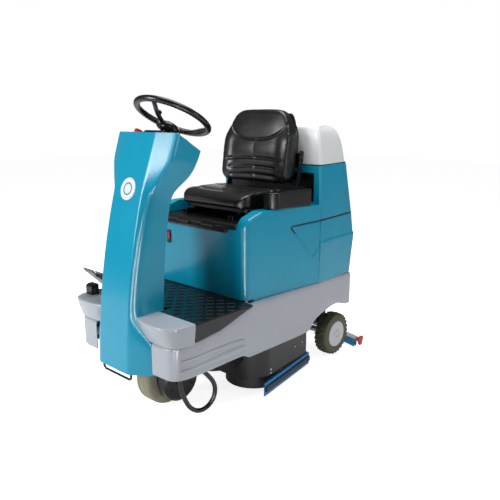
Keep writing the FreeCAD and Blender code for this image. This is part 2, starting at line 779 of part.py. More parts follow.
def seat_plate():
    plate = prism([(-258, PLATE_Z + 2), (-258, PLATE_Z + 18, 6), (-240, PLATE_Z + 24, 10), (255, PLATE_Z + 24),
                   (255, PLATE_Z)], "x", 2 - CHANNEL_HALF, CHANNEL_HALF - 2)
    y, z = SEAT_PIVOT
    parts = [plate]
    for x0, x1 in hinge_spans(True):
        parts.append(rod(vec(x0, y, z), vec(x1, y, z), 9))
        parts.append(box(x0, x1, y - 5, y + 9, z, PLATE_Z + 12))
    plate = join(parts)
    return plate.cut(rod(vec(-300, y, z), vec(300, y, z), 5 + RUN))


def seat_rails():
    """Two channels on the seat plate."""
    low = PLATE_Z + 24.2
    rails = []
    for x in (-170, 140):
        rail = box(x, x + 30, -190, 200, low, low + 20)
        rails.append(rail.cut(box(x + 6, x + 24, -195, 205, low + 4, low + 30)))
    return rails


def seat_runners():
    """Bars that slide in the channels, under the seat pan."""
    low = PLATE_Z + 24.2
    return [box(x + 6.3, x + 23.7, -133, 165, low + 4.3, low + 30) for x in (-170, 140)]


def seat_pan():
    low = PLATE_Z + 54.3
    pan = prism([(-214, -133, 40), (214, -133, 40), (214, 175, 20), (-214, 175, 20)], "z", low, low + 16)
    ears = []
    for x in (-226, 220):
        ears.append(prism([(95, low), (175, low), (208, low + 40, 8), (204, 926, 12), (176, 926, 12)], "x", x, x + 6))
    parts = [pan] + ears + both(box(212, 222, 105, 173, low, low + 16))
    y, z = BACK_PIVOT
    return join(parts).cut(rod(vec(-240, y, z), vec(240, y, z), 7 + RUN))


def seat_cushion():
    low = PLATE_Z + 70.6
    cushion = prism([(-170, low, 20), (-177, 916, 24), (-135, 936, 60), (163, 938, 20), (167, low, 8)],
                    "x", -211, 211)
    trim = prism([(-211, -177, 60), (211, -177, 60), (211, 175, 30), (-211, 175, 30)], "z", 800, 1000)
    return cushion.common(trim)


def back_outline(low, high, half):
    """The backrest from in front: round shoulders, narrowing at the top."""
    return [(-half, low, 40), (-half, high - 110, 90), (-half + 44, high, 60), (half - 44, high, 60),
            (half, high - 110, 90), (half, low, 40)]


def backrest_cushion():
    slab = prism([(128, 962, 16), (150, 1110, 60), (190, 1326, 24), (242, 1326, 24), (222, 1110, 60),
                  (188, 962, 16)], "x", -240, 240)
    return slab.common(prism(back_outline(950, 1326, 216), "y", 100, 300))


def backrest_shell():
    slab = prism([(189, 966), (223, 1108, 60), (240, 1300), (256, 1300, 6), (242, 1110, 60), (208, 966)],
                 "x", -240, 240)
    return slab.common(prism(back_outline(960, 1312, 200), "y", 100, 300))


def backrest_brackets():
    """Side plates from the recline pivot to the shell, two bolt heads on each."""
    y, z = BACK_PIVOT
    plate = prism([(y - 12, z - 10, 8), (y + 16, z - 12, 8), (238, 1030, 10), (250, 1118, 8), (222, 1128, 8),
                   (y + 16, 1020, 20), (y - 4, 940, 10)], "x", 227.2, 233)
    plate = plate.fuse(box(200.5, 227.5, 226, 240, 1040, 1110))
    for height, depth in ((1078, 234), (1104, 236)):
        plate = plate.fuse(rod(vec(233, depth, height), vec(238, depth, height), 7))
    plate = plate.fuse(rod(vec(218, y, z), vec(228, y, z), 7)).removeSplitter()
    return both(plate)


# ---- brush deck

def deck_housing():
    """Open-bottomed steel cover over both brushes, narrowing to the rear."""
    def plan(inset):
        return mirrored([(324 - inset, -198 + inset, 110), (258 - inset, 285 - inset, 30)])
    housing = prism(plan(0), "z", DECK_LOW, DECK_HIGH).cut(prism(plan(5), "z", DECK_LOW - 5, DECK_HIGH - 5))
    apron = prism([(-262, DECK_HIGH), (262, DECK_HIGH), (214, 140, 40), (-214, 140, 40)], "y", -205, -197)
    housing = join([housing, apron])
    for x in (-BRUSH_X, BRUSH_X):
        housing = housing.cut(rod(vec(x, BRUSH_Y, 150), vec(x, BRUSH_Y, 250), 14))
    return housing


SKIRT_FRONT = (334.0, -150.0)
SKIRT_REAR = (262.0, 292.0)


def along_skirt(offset_low, offset_high, start, end, z0, z1):
    """A straight strip beside the left skirt line, measured outwards from it."""
    run = vec(SKIRT_REAR[0] - SKIRT_FRONT[0], SKIRT_REAR[1] - SKIRT_FRONT[1], 0)
    length = run.Length
    run.normalize()
    out = vec(run.y, -run.x, 0)
    origin = vec(SKIRT_FRONT[0], SKIRT_FRONT[1], 0)
    corners = []
    for offset, reach in ((offset_low, start), (offset_high, start), (offset_high, length - end),
                          (offset_low, length - end)):
        spot = origin + out * offset + run * reach
        corners.append((spot.x, spot.y, 0))
    return prism(corners, "z", z0, z1)


def brush_motors():
    motors = []
    for x in (-BRUSH_X, BRUSH_X):
        can = rod(vec(x, BRUSH_Y, DECK_HIGH + 0.3), vec(x, BRUSH_Y, DECK_HIGH + 74), 46)
        lid = Part.makeCone(46, 38, 8, vec(x, BRUSH_Y, DECK_HIGH + 74))
        motor = join([can, lid])
        motors.append(motor.cut(rod(vec(x, BRUSH_Y, 180), vec(x, BRUSH_Y, DECK_HIGH + 30), 10 + RUN)))
    return motors


def lift_actuator():
    return tube(vec(0, 110, 330), vec(0, 110, 470), 22, 10 + RUN)


def lift_rod():
    return rod(vec(0, 110, DECK_HIGH + 0.3), vec(0, 110, 400), 10)


def brush(x):
    """Drive plate with its shaft, and the ring of bristles under it."""
    plate = rod(vec(x, BRUSH_Y, 74), vec(x, BRUSH_Y, 88), BRUSH_RADIUS - 4)
    plate = join([plate, rod(vec(x, BRUSH_Y, 88), vec(x, BRUSH_Y, DECK_HIGH + 26), 10)])
    bristles = Part.makeCone(BRUSH_RADIUS, BRUSH_RADIUS - 6, 69, vec(x, BRUSH_Y, 4.7))
    return [plate, bristles.cut(rod(vec(x, BRUSH_Y, 0), vec(x, BRUSH_Y, 80), 62))]


# ---- squeegee

def bow(depth_front, depth_rear, half, z0, z1):
    """A bar bowed rearwards in the middle, with its ends cut off square."""
    centre = vec(0, SQUEEGEE_REAR - SQUEEGEE_BOW, z0)
    ring = Part.makeCylinder(SQUEEGEE_BOW - depth_rear, z1 - z0, centre)
    ring = ring.cut(Part.makeCylinder(SQUEEGEE_BOW - depth_front, z1 - z0, centre))
    return ring.common(box(-half, half, 600, 800, z0, z1))


def squeegee_arm():
    y, z = SQUEEGEE_PIVOT
    plate = prism([(y - 13, z + 6, 10), (y + 12, z + 13, 10), (y + 60, 150, 30), (y + 190, 92, 10), (y + 190, 76),
                   (y + 90, 76, 20), (y - 6, z - 14, 10)], "x", 24, 34)
    barrel = rod(vec(-38, y, z), vec(38, y, z), 14)
    foot = box(-34, 34, y + 120, y + 170, 76, 82)
    arm = join([plate, flip(plate), barrel, foot])
    return arm.cut(rod(vec(-60, y, z), vec(60, y, z), 8 + RUN))


def squeegee_pin():
    y, z = SQUEEGEE_PIVOT
    return rod(vec(-56, y, z), vec(56, y, z), 8)


def squeegee_body():
    beam = bow(44, 4, SQUEEGEE_HALF, 52, 58)
    spine = bow(30, 18, SQUEEGEE_HALF, 34, 52)
    port = rod(vec(0, SQUEEGEE_REAR - 24, 58), vec(0, SQUEEGEE_REAR - 24, 72), 22)
    guard = bow(44, 4 - GUARD_REACH, 210, 53, 57).fuse(bow(8 - GUARD_REACH, 4 - GUARD_REACH, 210, 44, 66))
    body = join([beam, spine, port, guard])
    return body.cut(rod(vec(0, SQUEEGEE_REAR - 24, 20), vec(0, SQUEEGEE_REAR - 24, 80), 17))


def squeegee_blades():
    return [bow(36, 32, SQUEEGEE_HALF - 8, 4, 51.7), bow(16, 12, SQUEEGEE_HALF - 8, 4, 51.7)]


def squeegee_tips():
    """Red end blocks that bump along walls."""
    tips = []
    for sign in (-1, 1):
        x0, x1 = sorted((sign * (SQUEEGEE_HALF + 0.3), sign * (SQUEEGEE_HALF + 14)))
        y = SQUEEGEE_REAR - 50
        tips.append(prism([(y - 32, 60, 6), (y + 26, 60, 6), (y + 14, 14, 8), (y - 6, 8, 6)], "x", x0, x1))
    return tips


def squeegee_knobs():
    knobs = []
    for x in (-90, 90):
        y = SQUEEGEE_REAR - 26
        post = rod(vec(x, y, 58.3), vec(x, y, 84), 5)
        grip = rod(vec(x, y, 84), vec(x, y, 100), 17)
        for i in range(6):
            turn = math.radians(60 * i)
            spot = vec(x + 21 * math.cos(turn), y + 21 * math.sin(turn), 80)
            grip = grip.cut(rod(spot, spot + vec(0, 0, 30), 7))
        knobs.append(join([post, grip]))
    return knobs


# ---- write every piece

save("chassis_frame", chassis_frame(), steering_bearing(), squeegee_pin())
save("front_fork", front_fork(), sprocket(FRONT_Y, 68, 20))
save("drive_motor", drive_motor())
save("front_tyre", front_tyre())
save("front_rim", front_rim())
save("rear_axle", rear_axle())
rear_tyre, rear_rim, rear_hub_cover = rear_wheel()
save("rear_tyre_left", rear_tyre)
save("rear_tyre_right", flip(rear_tyre))
save("rear_rim_left", rear_rim, rear_hub_cover)
save("rear_rim_right", flip(rear_rim), flip(rear_hub_cover))

save("lower_body", lower_body())
save("corner_covers", both(corner_cover()))
save("floor_pan", floor_pan())
save("foot_mat", foot_mat())
save("cowl", cowl_shell(), badge())
save("cowl_rear_cover", cowl_rear_cover())
save("tow_bar", tow_bar())

save("steering_mast", steering_mast(), column_tube())
save("steering_shaft", steering_shaft())
save("lower_shaft", lower_shaft(), sprocket(column_point(JOINT_DROP).y, 24, 10))
save("steering_wheel", steering_wheel())
save("horn_button", horn_button())
save("steering_chain", steering_chain())
save("dashboard", dashboard())
save("gear_lever", gear_lever())
dash_pieces()
for name, (x0, x1) in PEDALS.items():
    save(name + "_pedal", pedal(x0, x1))
save("pedal_brackets", [pedal_bracket(*span) for span in PEDALS.values()], pedal_sensor())

save("seat_base", seat_base())
save("side_insets", both(side_inset()))
save("consoles", console())
save("batteries", batteries())
save("rear_body", rear_body())
save("vacuum_motor", rod(vec(120, 420, 492.5), vec(120, 420, 640), 72))
save("recovery_tank", recovery_tank(), lid_gasket(), lid_hinge())
save("tank_front_panel", tank_front_panel())
save("tank_lid", tank_lid(), lid_leaf())

save("seat_hinge", seat_hinge())
save("seat_plate", seat_plate(), seat_rails())
save("seat_pan", seat_pan(), seat_runners())
save("seat_cushion", seat_cushion())
save("backrest_cushion", backrest_cushion())
save("backrest_shell", backrest_shell(), backrest_brackets())

save("deck_housing", deck_housing(), lift_rod(), both(along_skirt(0.3, 8, 4, 4, 27, 52)))
save("brush_motors", brush_motors())
save("brush_left", brush(BRUSH_X))
save("brush_right", brush(-BRUSH_X))
save("side_skirts", both(along_skirt(-6, 0, 0, 0, 6, 70)))
save("lift_actuator", lift_actuator())

save("squeegee_arm", squeegee_arm(), squeegee_knobs())
save("squeegee_body", squeegee_body())
save("squeegee_blades", squeegee_blades())
save("squeegee_tips", squeegee_tips())

save("drain_hose", drain_hose())
save("hose_fittings", hose_fittings())
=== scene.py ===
import json
import math
import bmesh
import bpy
import numpy
from mathutils import Matrix, Vector

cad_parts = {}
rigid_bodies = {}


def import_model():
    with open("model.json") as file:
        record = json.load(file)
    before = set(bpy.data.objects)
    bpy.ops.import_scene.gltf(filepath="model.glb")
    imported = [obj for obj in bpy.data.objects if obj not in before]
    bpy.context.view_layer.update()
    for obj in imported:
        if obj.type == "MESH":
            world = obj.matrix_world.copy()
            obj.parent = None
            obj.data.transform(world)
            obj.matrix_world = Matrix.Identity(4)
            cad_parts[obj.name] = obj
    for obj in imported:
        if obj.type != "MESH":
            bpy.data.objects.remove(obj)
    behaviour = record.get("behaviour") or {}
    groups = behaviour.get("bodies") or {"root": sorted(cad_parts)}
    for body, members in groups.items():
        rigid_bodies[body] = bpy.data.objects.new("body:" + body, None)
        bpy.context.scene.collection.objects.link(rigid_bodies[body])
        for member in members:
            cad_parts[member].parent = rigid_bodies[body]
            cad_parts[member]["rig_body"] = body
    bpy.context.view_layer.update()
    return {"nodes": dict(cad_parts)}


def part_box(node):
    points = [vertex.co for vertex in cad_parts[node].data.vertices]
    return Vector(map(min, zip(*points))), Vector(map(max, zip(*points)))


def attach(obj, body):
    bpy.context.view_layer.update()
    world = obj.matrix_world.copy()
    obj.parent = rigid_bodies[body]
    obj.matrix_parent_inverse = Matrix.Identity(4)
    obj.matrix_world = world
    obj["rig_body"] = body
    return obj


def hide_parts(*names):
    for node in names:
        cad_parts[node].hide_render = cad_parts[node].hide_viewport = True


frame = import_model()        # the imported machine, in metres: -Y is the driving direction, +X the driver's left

mm = 0.001
nodes = frame["nodes"]


# camera

cameraValues = {"place": (1.9436, -2.0355, 1.2831), "down": 13.0, "turn": 42.1, "lens": 41.5,
                "sensor": 36}
bpy.ops.object.select_all(action="DESELECT")
bpy.ops.object.camera_add(location=cameraValues["place"],
                          rotation=(math.radians(90 - cameraValues["down"]), 0, math.radians(cameraValues["turn"])))
camera = bpy.context.object
camera.data.lens = cameraValues["lens"]
camera.data.sensor_width = cameraValues["sensor"]
bpy.context.scene.camera = camera
print("camera in place")


# working helpers

def point(x, y, z):
    return Vector((x, y, z)) * mm


def only(piece):
    if bpy.context.mode != "OBJECT":
        bpy.ops.object.mode_set(mode="OBJECT")
    deselectAll()
    bpy.context.view_layer.objects.active = piece
    piece.select_set(True)


def openEdit(piece, kind="VERT"):
    only(piece)
    bpy.ops.object.mode_set(mode="EDIT")
    bpy.ops.mesh.select_mode(type=kind)
    bpy.ops.mesh.select_all(action="DESELECT")


def closeEdit():
    bpy.ops.object.mode_set(mode="OBJECT")


def deselectAll():
    bpy.ops.object.select_all(action="DESELECT")


def openWhole(piece):
    openEdit(piece)
    bpy.ops.mesh.select_all(action="SELECT")


def faceOutwards(piece, weld=0):
    openWhole(piece)
    if weld:
        bpy.ops.mesh.remove_doubles(threshold=weld * mm)
    bpy.ops.mesh.normals_make_consistent(inside=False)
    closeEdit()


def pickFaces(piece, test):
    openEdit(piece, "FACE")
    shape = bmesh.from_edit_mesh(piece.data)
    for face in shape.faces:
        face.select_set(test(face.calc_center_median() / mm, face.normal))
    bmesh.update_edit_mesh(piece.data)


def pickEdges(piece, test):
    openEdit(piece, "EDGE")
    shape = bmesh.from_edit_mesh(piece.data)
    for edge in shape.edges:
        bend = edge.calc_face_angle(0) if len(edge.link_faces) == 2 else 3.0
        edge.select_set(bool(test(edge.verts[0].co / mm, edge.verts[1].co / mm, math.degrees(bend))))
    bmesh.update_edit_mesh(piece.data)


def dragTo(piece, index, spot):
    bpy.ops.mesh.select_all(action="DESELECT")
    shape = bmesh.from_edit_mesh(piece.data)
    shape.verts.ensure_lookup_table()
    vertex = shape.verts[index]
    vertex.select_set(True)
    step = spot - vertex.co
    bpy.ops.transform.translate(value=step)


def modify(piece, kind, **settings):
    only(piece)
    modifier = piece.modifiers.new(kind.title(), kind)
    for key, value in settings.items():
        setattr(modifier, key, value)
    bpy.ops.object.modifier_apply(modifier=modifier.name)


def smooth(piece, degrees=35, weighted=True):
    only(piece)
    bpy.ops.object.shade_smooth_by_angle(angle=math.radians(degrees))
    if weighted:
        modify(piece, "WEIGHTED_NORMAL", keep_sharp=True)


def settle(piece):
    only(piece)
    bpy.ops.object.transform_apply(location=True, rotation=True, scale=True)


def merge(pieces, name):
    only(pieces[0])
    for piece in pieces:
        piece.select_set(True)
    if len(pieces) > 1:
        bpy.ops.object.join()
    whole = bpy.context.view_layer.objects.active
    whole.name = name
    whole.data.name = name
    return whole


def finishPiece(piece, name, body, finish, replaced=()):
    piece.name = name
    piece.data.name = name
    piece.data.materials.clear()
    piece.data.materials.append(finish)
    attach(piece, body)
    if replaced:
        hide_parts(*replaced)
    return piece


def copyOf(node):
    mesh = nodes[node].data.copy()
    mesh.materials.clear()
    piece = bpy.data.objects.new(node + "Form", mesh)
    bpy.context.scene.collection.objects.link(piece)
    openWhole(piece)
    bpy.ops.mesh.remove_doubles(threshold=0.00002)
    bpy.ops.mesh.dissolve_limited(angle_limit=math.radians(0.8))
    closeEdit()
    bpy.ops.mesh.customdata_custom_splitnormals_clear()
    return piece


def solidsOf(node):
    piece = copyOf(node)
    openWhole(piece)
    bpy.ops.mesh.separate(type="LOOSE")
    closeEdit()
    bpy.context.view_layer.update()
    return sorted(bpy.context.selected_objects, key=lambda o: -o.dimensions.x * o.dimensions.y * o.dimensions.z)


def soften(piece, width, segments=3, degrees=30, clamp=True):
    modify(piece, "BEVEL", width=width * mm, segments=segments, limit_method="ANGLE",
           angle_limit=math.radians(degrees), use_clamp_overlap=clamp, miter_outer="MITER_ARC")
    smooth(piece)


def roundEdges(piece, test, width, segments=4):
    pickEdges(piece, test)
    bpy.ops.mesh.bevel(offset=width * mm, segments=segments, affect="EDGES", clamp_overlap=False)
    closeEdit()


def creaseEdges(piece, test, amount):
    pickEdges(piece, test)
    bpy.ops.transform.edge_crease(value=amount)
    closeEdit()


def sheetOf(name, rows):
    deselectAll()
    bpy.ops.mesh.primitive_grid_add(x_subdivisions=len(rows[0]) - 1, y_subdivisions=len(rows) - 1, size=1)
    piece = bpy.context.object
    piece.name = name
    openEdit(piece)
    for r, row in enumerate(rows):
        for c, spot in enumerate(row):
            dragTo(piece, r * len(row) + c, point(*spot))
    closeEdit()
    return piece


def mirrorHalf(piece):
    modify(piece, "MIRROR", use_axis=(True, False, False), use_clip=True, merge_threshold=0.0004)
    faceOutwards(piece, 0.2)


def block(place, size):
    deselectAll()
    bpy.ops.mesh.primitive_cube_add(size=1, location=point(*place), scale=point(*size))
    piece = bpy.context.object
    settle(piece)
    return piece


def turned(name, centre, axis, profile, steps=64):      # profile: (along the axis, radius) pairs
    deselectAll()
    aim = Vector(axis).to_track_quat("Z", "Y")
    start = profile[0]
    bpy.ops.mesh.primitive_circle_add(vertices=steps, radius=start[1] * mm,
                                      location=point(*centre) + Vector(axis) * start[0] * mm,
                                      rotation=aim.to_euler())
    piece = bpy.context.object
    piece.name = name
    settle(piece)
    openWhole(piece)
    for last, here in zip(profile, profile[1:]):
        bpy.ops.mesh.extrude_region_move()
        bpy.ops.transform.translate(value=Vector(axis) * (here[0] - last[0]) * mm)
        grow = here[1] / last[1]
        bpy.ops.transform.resize(value=(grow, grow, grow),
                                 center_override=point(*centre) + Vector(axis) * here[0] * mm)
    faceOutwards(piece, 0.01)
    return piece


def barAlong(name, route, radius, sides=4):
    curve = bpy.data.curves.new(name, "CURVE")
    curve.dimensions = "3D"
    line = curve.splines.new("NURBS")
    line.points.add(len(route) - 1)
    for spot, place in zip(line.points, route):
        spot.co = (*point(*place), 1)
    line.order_u = 3
    line.use_endpoint_u = True
    curve.bevel_depth = radius * mm
    curve.bevel_resolution = sides
    curve.resolution_u = 8
    curve.use_fill_caps = True
    rod = bpy.data.objects.new(name, curve)
    bpy.context.scene.collection.objects.link(rod)
    only(rod)
    bpy.ops.object.convert(target="MESH")
    return bpy.context.object


# finishes

def toLinear(hexColour):
    parts = [int(hexColour[i:i + 2], 16) / 255 for i in (1, 3, 5)]
    return tuple(p / 12.92 if p <= 0.04045 else ((p + 0.055) / 1.055) ** 2.4 for p in parts) + (1.0,)


def addNode(tree, kind, settings=None, links=None):
    node = tree.nodes.new("ShaderNode" + kind)
    for key, value in (settings or {}).items():
        if isinstance(key, int) or key in node.inputs:
            node.inputs[key].default_value = value
        else:
            setattr(node, key, value)
    for key, source in (links or {}).items():
        tree.links.new(source, node.inputs[key])
    return node


def grainedFinish(name, pale, deep, roughness, grainMm, bumpMm, driftMm=160, spread=0.08, stretch=(1, 1, 1),
                  **uniform):
    material = bpy.data.materials.new(name)
    material.use_nodes = True
    tree = material.node_tree
    shader = tree.nodes["Principled BSDF"]
    place = addNode(tree, "TexCoord").outputs["Object"]
    laid = addNode(tree, "Mapping", {"Scale": stretch}, {"Vector": place}).outputs[0]
    drift = addNode(tree, "TexNoise", {"Scale": 1000 / driftMm, "Detail": 4}, {"Vector": laid})
    tint = addNode(tree, "Mix", {"data_type": "RGBA", 6: toLinear(deep), 7: toLinear(pale)},
                   {0: drift.outputs[0]})
    scuff = addNode(tree, "TexNoise", {"Scale": 1000 / (grainMm * 12), "Detail": 5}, {"Vector": laid})
    gloss = addNode(tree, "MapRange", {"To Min": max(roughness - spread, 0.02), "To Max": roughness + spread},
                    {"Value": scuff.outputs[0]})
    grain = addNode(tree, "TexNoise", {"Scale": 1000 / grainMm, "Detail": 2}, {"Vector": laid})
    relief = addNode(tree, "Bump", {"Distance": bumpMm * mm, "Strength": 0.8}, {"Height": grain.outputs[0]})
    tree.links.new(tint.outputs[2], shader.inputs["Base Color"])
    tree.links.new(gloss.outputs[0], shader.inputs["Roughness"])
    tree.links.new(relief.outputs[0], shader.inputs["Normal"])
    for key, value in uniform.items():
        shader.inputs[key].default_value = value
    return material


finishes = {
    # rotationally moulded polyethylene: an even satin skin with faint dimples five millimetres across
    "tealPolyethylene": grainedFinish("tealPolyethylene", "#009abc", "#008fb0", 0.21, 5.0, 0.03, spread=0.04, IOR=1.5),
    "greyPolyethylene": grainedFinish("greyPolyethylene", "#adb2ba", "#a4a9b2", 0.24, 5.0, 0.03, spread=0.04, IOR=1.5),
    # the lid is a nearly white batch of the same plastic
    "lidPolyethylene": grainedFinish("lidPolyethylene", "#eef1f2", "#e6eaec", 0.22, 5.0, 0.03, spread=0.04, IOR=1.5),
    # injection moulded ABS with a spark eroded grain, which scatters a soft grey sheen
    "blackAbs": grainedFinish("blackAbs", "#0a0b0d", "#060607", 0.3, 1.6, 0.05, IOR=1.53),
    # powder coated steel: orange peel a few millimetres across under a half gloss
    "powderCoatedSteel": grainedFinish("powderCoatedSteel", "#0d0e10", "#070809", 0.3, 3.0, 0.05, IOR=1.5),
    # zinc plate: a bright, slightly milky metal, uneven where the bath dried
    "zincPlatedSteel": grainedFinish("zincPlatedSteel", "#c3c6c8", "#a5a9ad", 0.3, 1.6, 0.02, Metallic=1.0),
    # sand cast aluminium, tumbled: a duller metal with a fine pitted skin
    "castAluminium": grainedFinish("castAluminium", "#c5c8cb", "#aeb2b6", 0.38, 1.4, 0.05, Metallic=1.0),
    # coated vinyl upholstery: a shallow embossed grain three millimetres across, under a thin glossy top skin
    "embossedVinyl": grainedFinish("embossedVinyl", "#0b0b0d", "#070708", 0.34, 3.0, 0.015, IOR=1.5,
                                   **{"Coat Weight": 0.25, "Coat Roughness": 0.22}),
    # compression moulded rubber: deep black with a soft polish from hands and mould
    "mouldedRubber": grainedFinish("mouldedRubber", "#0c0c0e", "#070708", 0.24, 3.2, 0.04, IOR=1.52),
    "deckRubber": grainedFinish("deckRubber", "#0b0c0d", "#060607", 0.2, 3.0, 0.02, IOR=1.52),
    # non marking tyre compounds, dull, with chalky patches where they have rolled
    "paleTyreRubber": grainedFinish("paleTyreRubber", "#a8a489", "#8c8870", 0.6, 2.0, 0.2, driftMm=30, IOR=1.52),
    "oliveTyreRubber": grainedFinish("oliveTyreRubber", "#5d5f48", "#45472f", 0.6, 2.2, 0.25, driftMm=30, IOR=1.52),
    # cast urethane: saturated, waxy and nearly smooth
    "blueUrethane": grainedFinish("blueUrethane", "#0b8ad0", "#0a74b8", 0.34, 4.0, 0.05, IOR=1.5),
    "redPolyurethane": grainedFinish("redPolyurethane", "#d6241f", "#b91a18", 0.36, 3.0, 0.06, IOR=1.5),
    # glossy ABS for the badge and glass filled nylon for the hubs: clean off-whites, the nylon a little chalkier
    "whiteAbs": grainedFinish("whiteAbs", "#e4e6e6", "#d9dcdd", 0.35, 1.6, 0.04, IOR=1.53),
    "hubNylon": grainedFinish("hubNylon", "#d3d5d6", "#c3c6c8", 0.4, 2.0, 0.05, IOR=1.53),
    # nylon bristle: upright streaks of shade between the tufts
    "nylonBristle": grainedFinish("nylonBristle", "#15181c", "#0c0e11", 0.55, 1.6, 0.6, driftMm=12,
                                  stretch=(1, 1, 0.05), IOR=1.53),
    # a polycarbonate window over a dark display
    "displayWindow": grainedFinish("displayWindow", "#101820", "#0b1118", 0.12, 6.0, 0.01, IOR=1.58),
}
print("finishes mixed:", len(finishes))


# hose: limp rubber, both ends in nuts under the front left corner

hoseValues = {"diameter": 0.020, "length": 0.487,
              "route": [(276, -622, 250), (277, -612, 196), (278, -594, 140), (281, -566, 90), (286, -520, 62),
                        (291, -470, 70), (294, -436, 108), (293, -434, 160), (289, -468, 210), (284, -506, 250)]}
hoseCurve = bpy.data.curves.new("drainHoseLoop", "CURVE")
hoseCurve.dimensions = "3D"
hoseLine = hoseCurve.splines.new("NURBS")
hoseLine.points.add(len(hoseValues["route"]) - 1)
for spot, place in zip(hoseLine.points, hoseValues["route"]):
    spot.co = (*point(*place), 1)
hoseLine.order_u = 3
hoseLine.use_endpoint_u = True
hoseCurve.bevel_depth = hoseValues["diameter"] / 2
hoseCurve.bevel_resolution = 8
hoseCurve.resolution_u = 16
hoseCurve.use_fill_caps = True
drainHose = bpy.data.objects.new("drainHoseLoop", hoseCurve)
bpy.context.scene.collection.objects.link(drainHose)
finishPiece(drainHose, "drainHoseLoop", "chassis", finishes["mouldedRubber"], ["drain_hose"])
print("hose hung")


# floor and lights

stageValues = {"floor": "#fbfbfb", "backdrop": "#ffffff", "backdropStrength": 1.0, "glow": 0.86, "bounce": 0.16,
               "fill": 0.15, "size": 30, "roughness": 0.9}
deselectAll()
bpy.ops.mesh.primitive_plane_add(size=stageValues["size"], location=(0, 0, -0.001))
floor = bpy.context.object
floor.name = "studioFloor"
floorFinish = bpy.data.materials.new("mattStudioPaper")
floorFinish.use_nodes = True
floorShader = floorFinish.node_tree.nodes["Principled BSDF"]
floorShader.inputs["Base Color"].default_value = toLinear(stageValues["floor"])
floorShader.inputs["Roughness"].default_value = stageValues["roughness"]
floorShader.inputs["Specular IOR Level"].default_value = 0.0
floorShader.inputs["Emission Color"].default_value = toLinear(stageValues["floor"])
lookedAt = addNode(floorFinish.node_tree, "LightPath").outputs["Is Camera Ray"]
glow = addNode(floorFinish.node_tree, "MapRange", {"To Min": stageValues["bounce"], "To Max": stageValues["glow"]},
               {"Value": lookedAt})
floorFinish.node_tree.links.new(glow.outputs[0], floorShader.inputs["Emission Strength"])
floor.data.materials.append(floorFinish)

world = bpy.data.worlds.new("studioWorld")
world.use_nodes = True
bright = world.node_tree.nodes["Background"]
bright.inputs[0].default_value = toLinear(stageValues["backdrop"])
seen = addNode(world.node_tree, "LightPath").outputs["Is Camera Ray"]
level = addNode(world.node_tree, "MapRange", {"To Min": stageValues["fill"], "To Max": stageValues["backdropStrength"]},
                {"Value": seen})
world.node_tree.links.new(level.outputs[0], bright.inputs[1])
bpy.context.scene.world = world
bpy.context.scene.view_settings.view_transform = "Standard"

lights = {
    # name: (place, aim, size, watts, gleam), where a gleam shows only as a highlight on rounded upright edges
    "frontSoftbox": ((-1.6, -4.0, 2.2), (0, -0.3, 0.8), (1.4, 2.0), 128, False),
    "cornerStrip": ((3.4, -2.2, 1.7), (0.1, -0.5, 0.7), (0.1, 2.8), 9, False),
    "topSoftbox": ((0.2, 0.2, 3.4), (0, 0.1, 0.6), (2.2, 2.2), 74, False),
    "sideStrip": ((3.2, 1.2, 1.6), (0.2, 0.2, 0.7), (0.2, 1.8), 13, False),
    "rearSoftbox": ((-2.4, 3.2, 2.2), (0, 0.3, 0.7), (1.2, 2.0), 30, False),
    "columnEdgeStrip": ((0.8, -1.32, 0.5), (0.2, -0.62, 0.5), (0.07, 1.0), 5, True),
    "seatCornerStrip": ((0.92, -0.97, 0.42), (0.304, -0.251, 0.42), (0.08, 0.7), 5, True),
}
for name, (place, aim, size, power, gleam) in lights.items():
    deselectAll()
    way = Vector(aim) - Vector(place)
    bpy.ops.object.light_add(type="AREA", location=place, rotation=way.to_track_quat("-Z", "Y").to_euler())
    lamp = bpy.context.object
    lamp.name = name
    lamp.data.shape = "RECTANGLE"
    lamp.data.size, lamp.data.size_y = size
    lamp.data.energy = power
    if gleam:
        lamp.visible_camera = False
        lamp.visible_diffuse = False
print("studio lit")


# cowl: a moulded column that flares into a wedge head, hollow behind

cowlValues = {"wall": 4.0, "cornerCrease": 0.5, "wingCrease": 0.62}
cowlRows = [
    # height, front corner, side's front edge, side's rear edge
    (250, (100, -745), (196, -684), (197, -640)),
    (300, (99, -742), (198, -682), (199, -640)),
    (366, (98, -738), (200, -680), (200, -640)),
    (400, (97.5, -736), (176, -687), (176, -622)),
    (430, (97, -733), (151, -694), (152, -600)),
    (460, (96.5, -730), (133, -697), (133, -576)),
    (490, (96, -727), (119, -699), (119, -561)),
    (600, (96, -716), (118, -691), (118, -553)),
    (780, (95, -683), (119, -660), (120, -538)),
    (940, (93, -643), (122, -621), (126, -516)),
    (989, (92, -628), (126, -606), (140, -503)),
    (1041, (92, -611), (150, -588), (178, -447)),
    (1100, (91, -590), (188, -560), (190, -418)),
    (1130, (91, -579), (191, -550), (191, -404)),
]
cowlSheet = []
for z, front, side, rear in cowlRows:
    middle = ((side[0] + rear[0]) / 2, (side[1] + rear[1]) / 2)
    cowlSheet.append([(0, front[1] - 1, z), (front[0] * 0.6, front[1] - 0.6, z), (*front, z), (*side, z), (*middle, z),
                      (*rear, z)])
cowlSheet.append([(0, -546, 1223), (55, -546, 1223), (91, -545.5, 1223), (191.5, -519, 1222), (191.5, -458, 1184.5),
                  (191.5, -397.5, 1147)])
cowl = sheetOf("cowlForm", cowlSheet)
mirrorHalf(cowl)
openEdit(cowl, "EDGE")
shape = bmesh.from_edit_mesh(cowl.data)
for edge in shape.edges:
    edge.select_set(edge.is_boundary and all(v.co.z > 1.14 and (v.co.z > 1.2 or v.co.y > -0.54) for v in edge.verts)
                    and not all(v.co.y > -0.41 and abs(v.co.x) > 0.1 and v.co.z < 1.148 for v in edge.verts))
bmesh.update_edit_mesh(cowl.data)
bpy.ops.mesh.edge_face_add()
closeEdit()

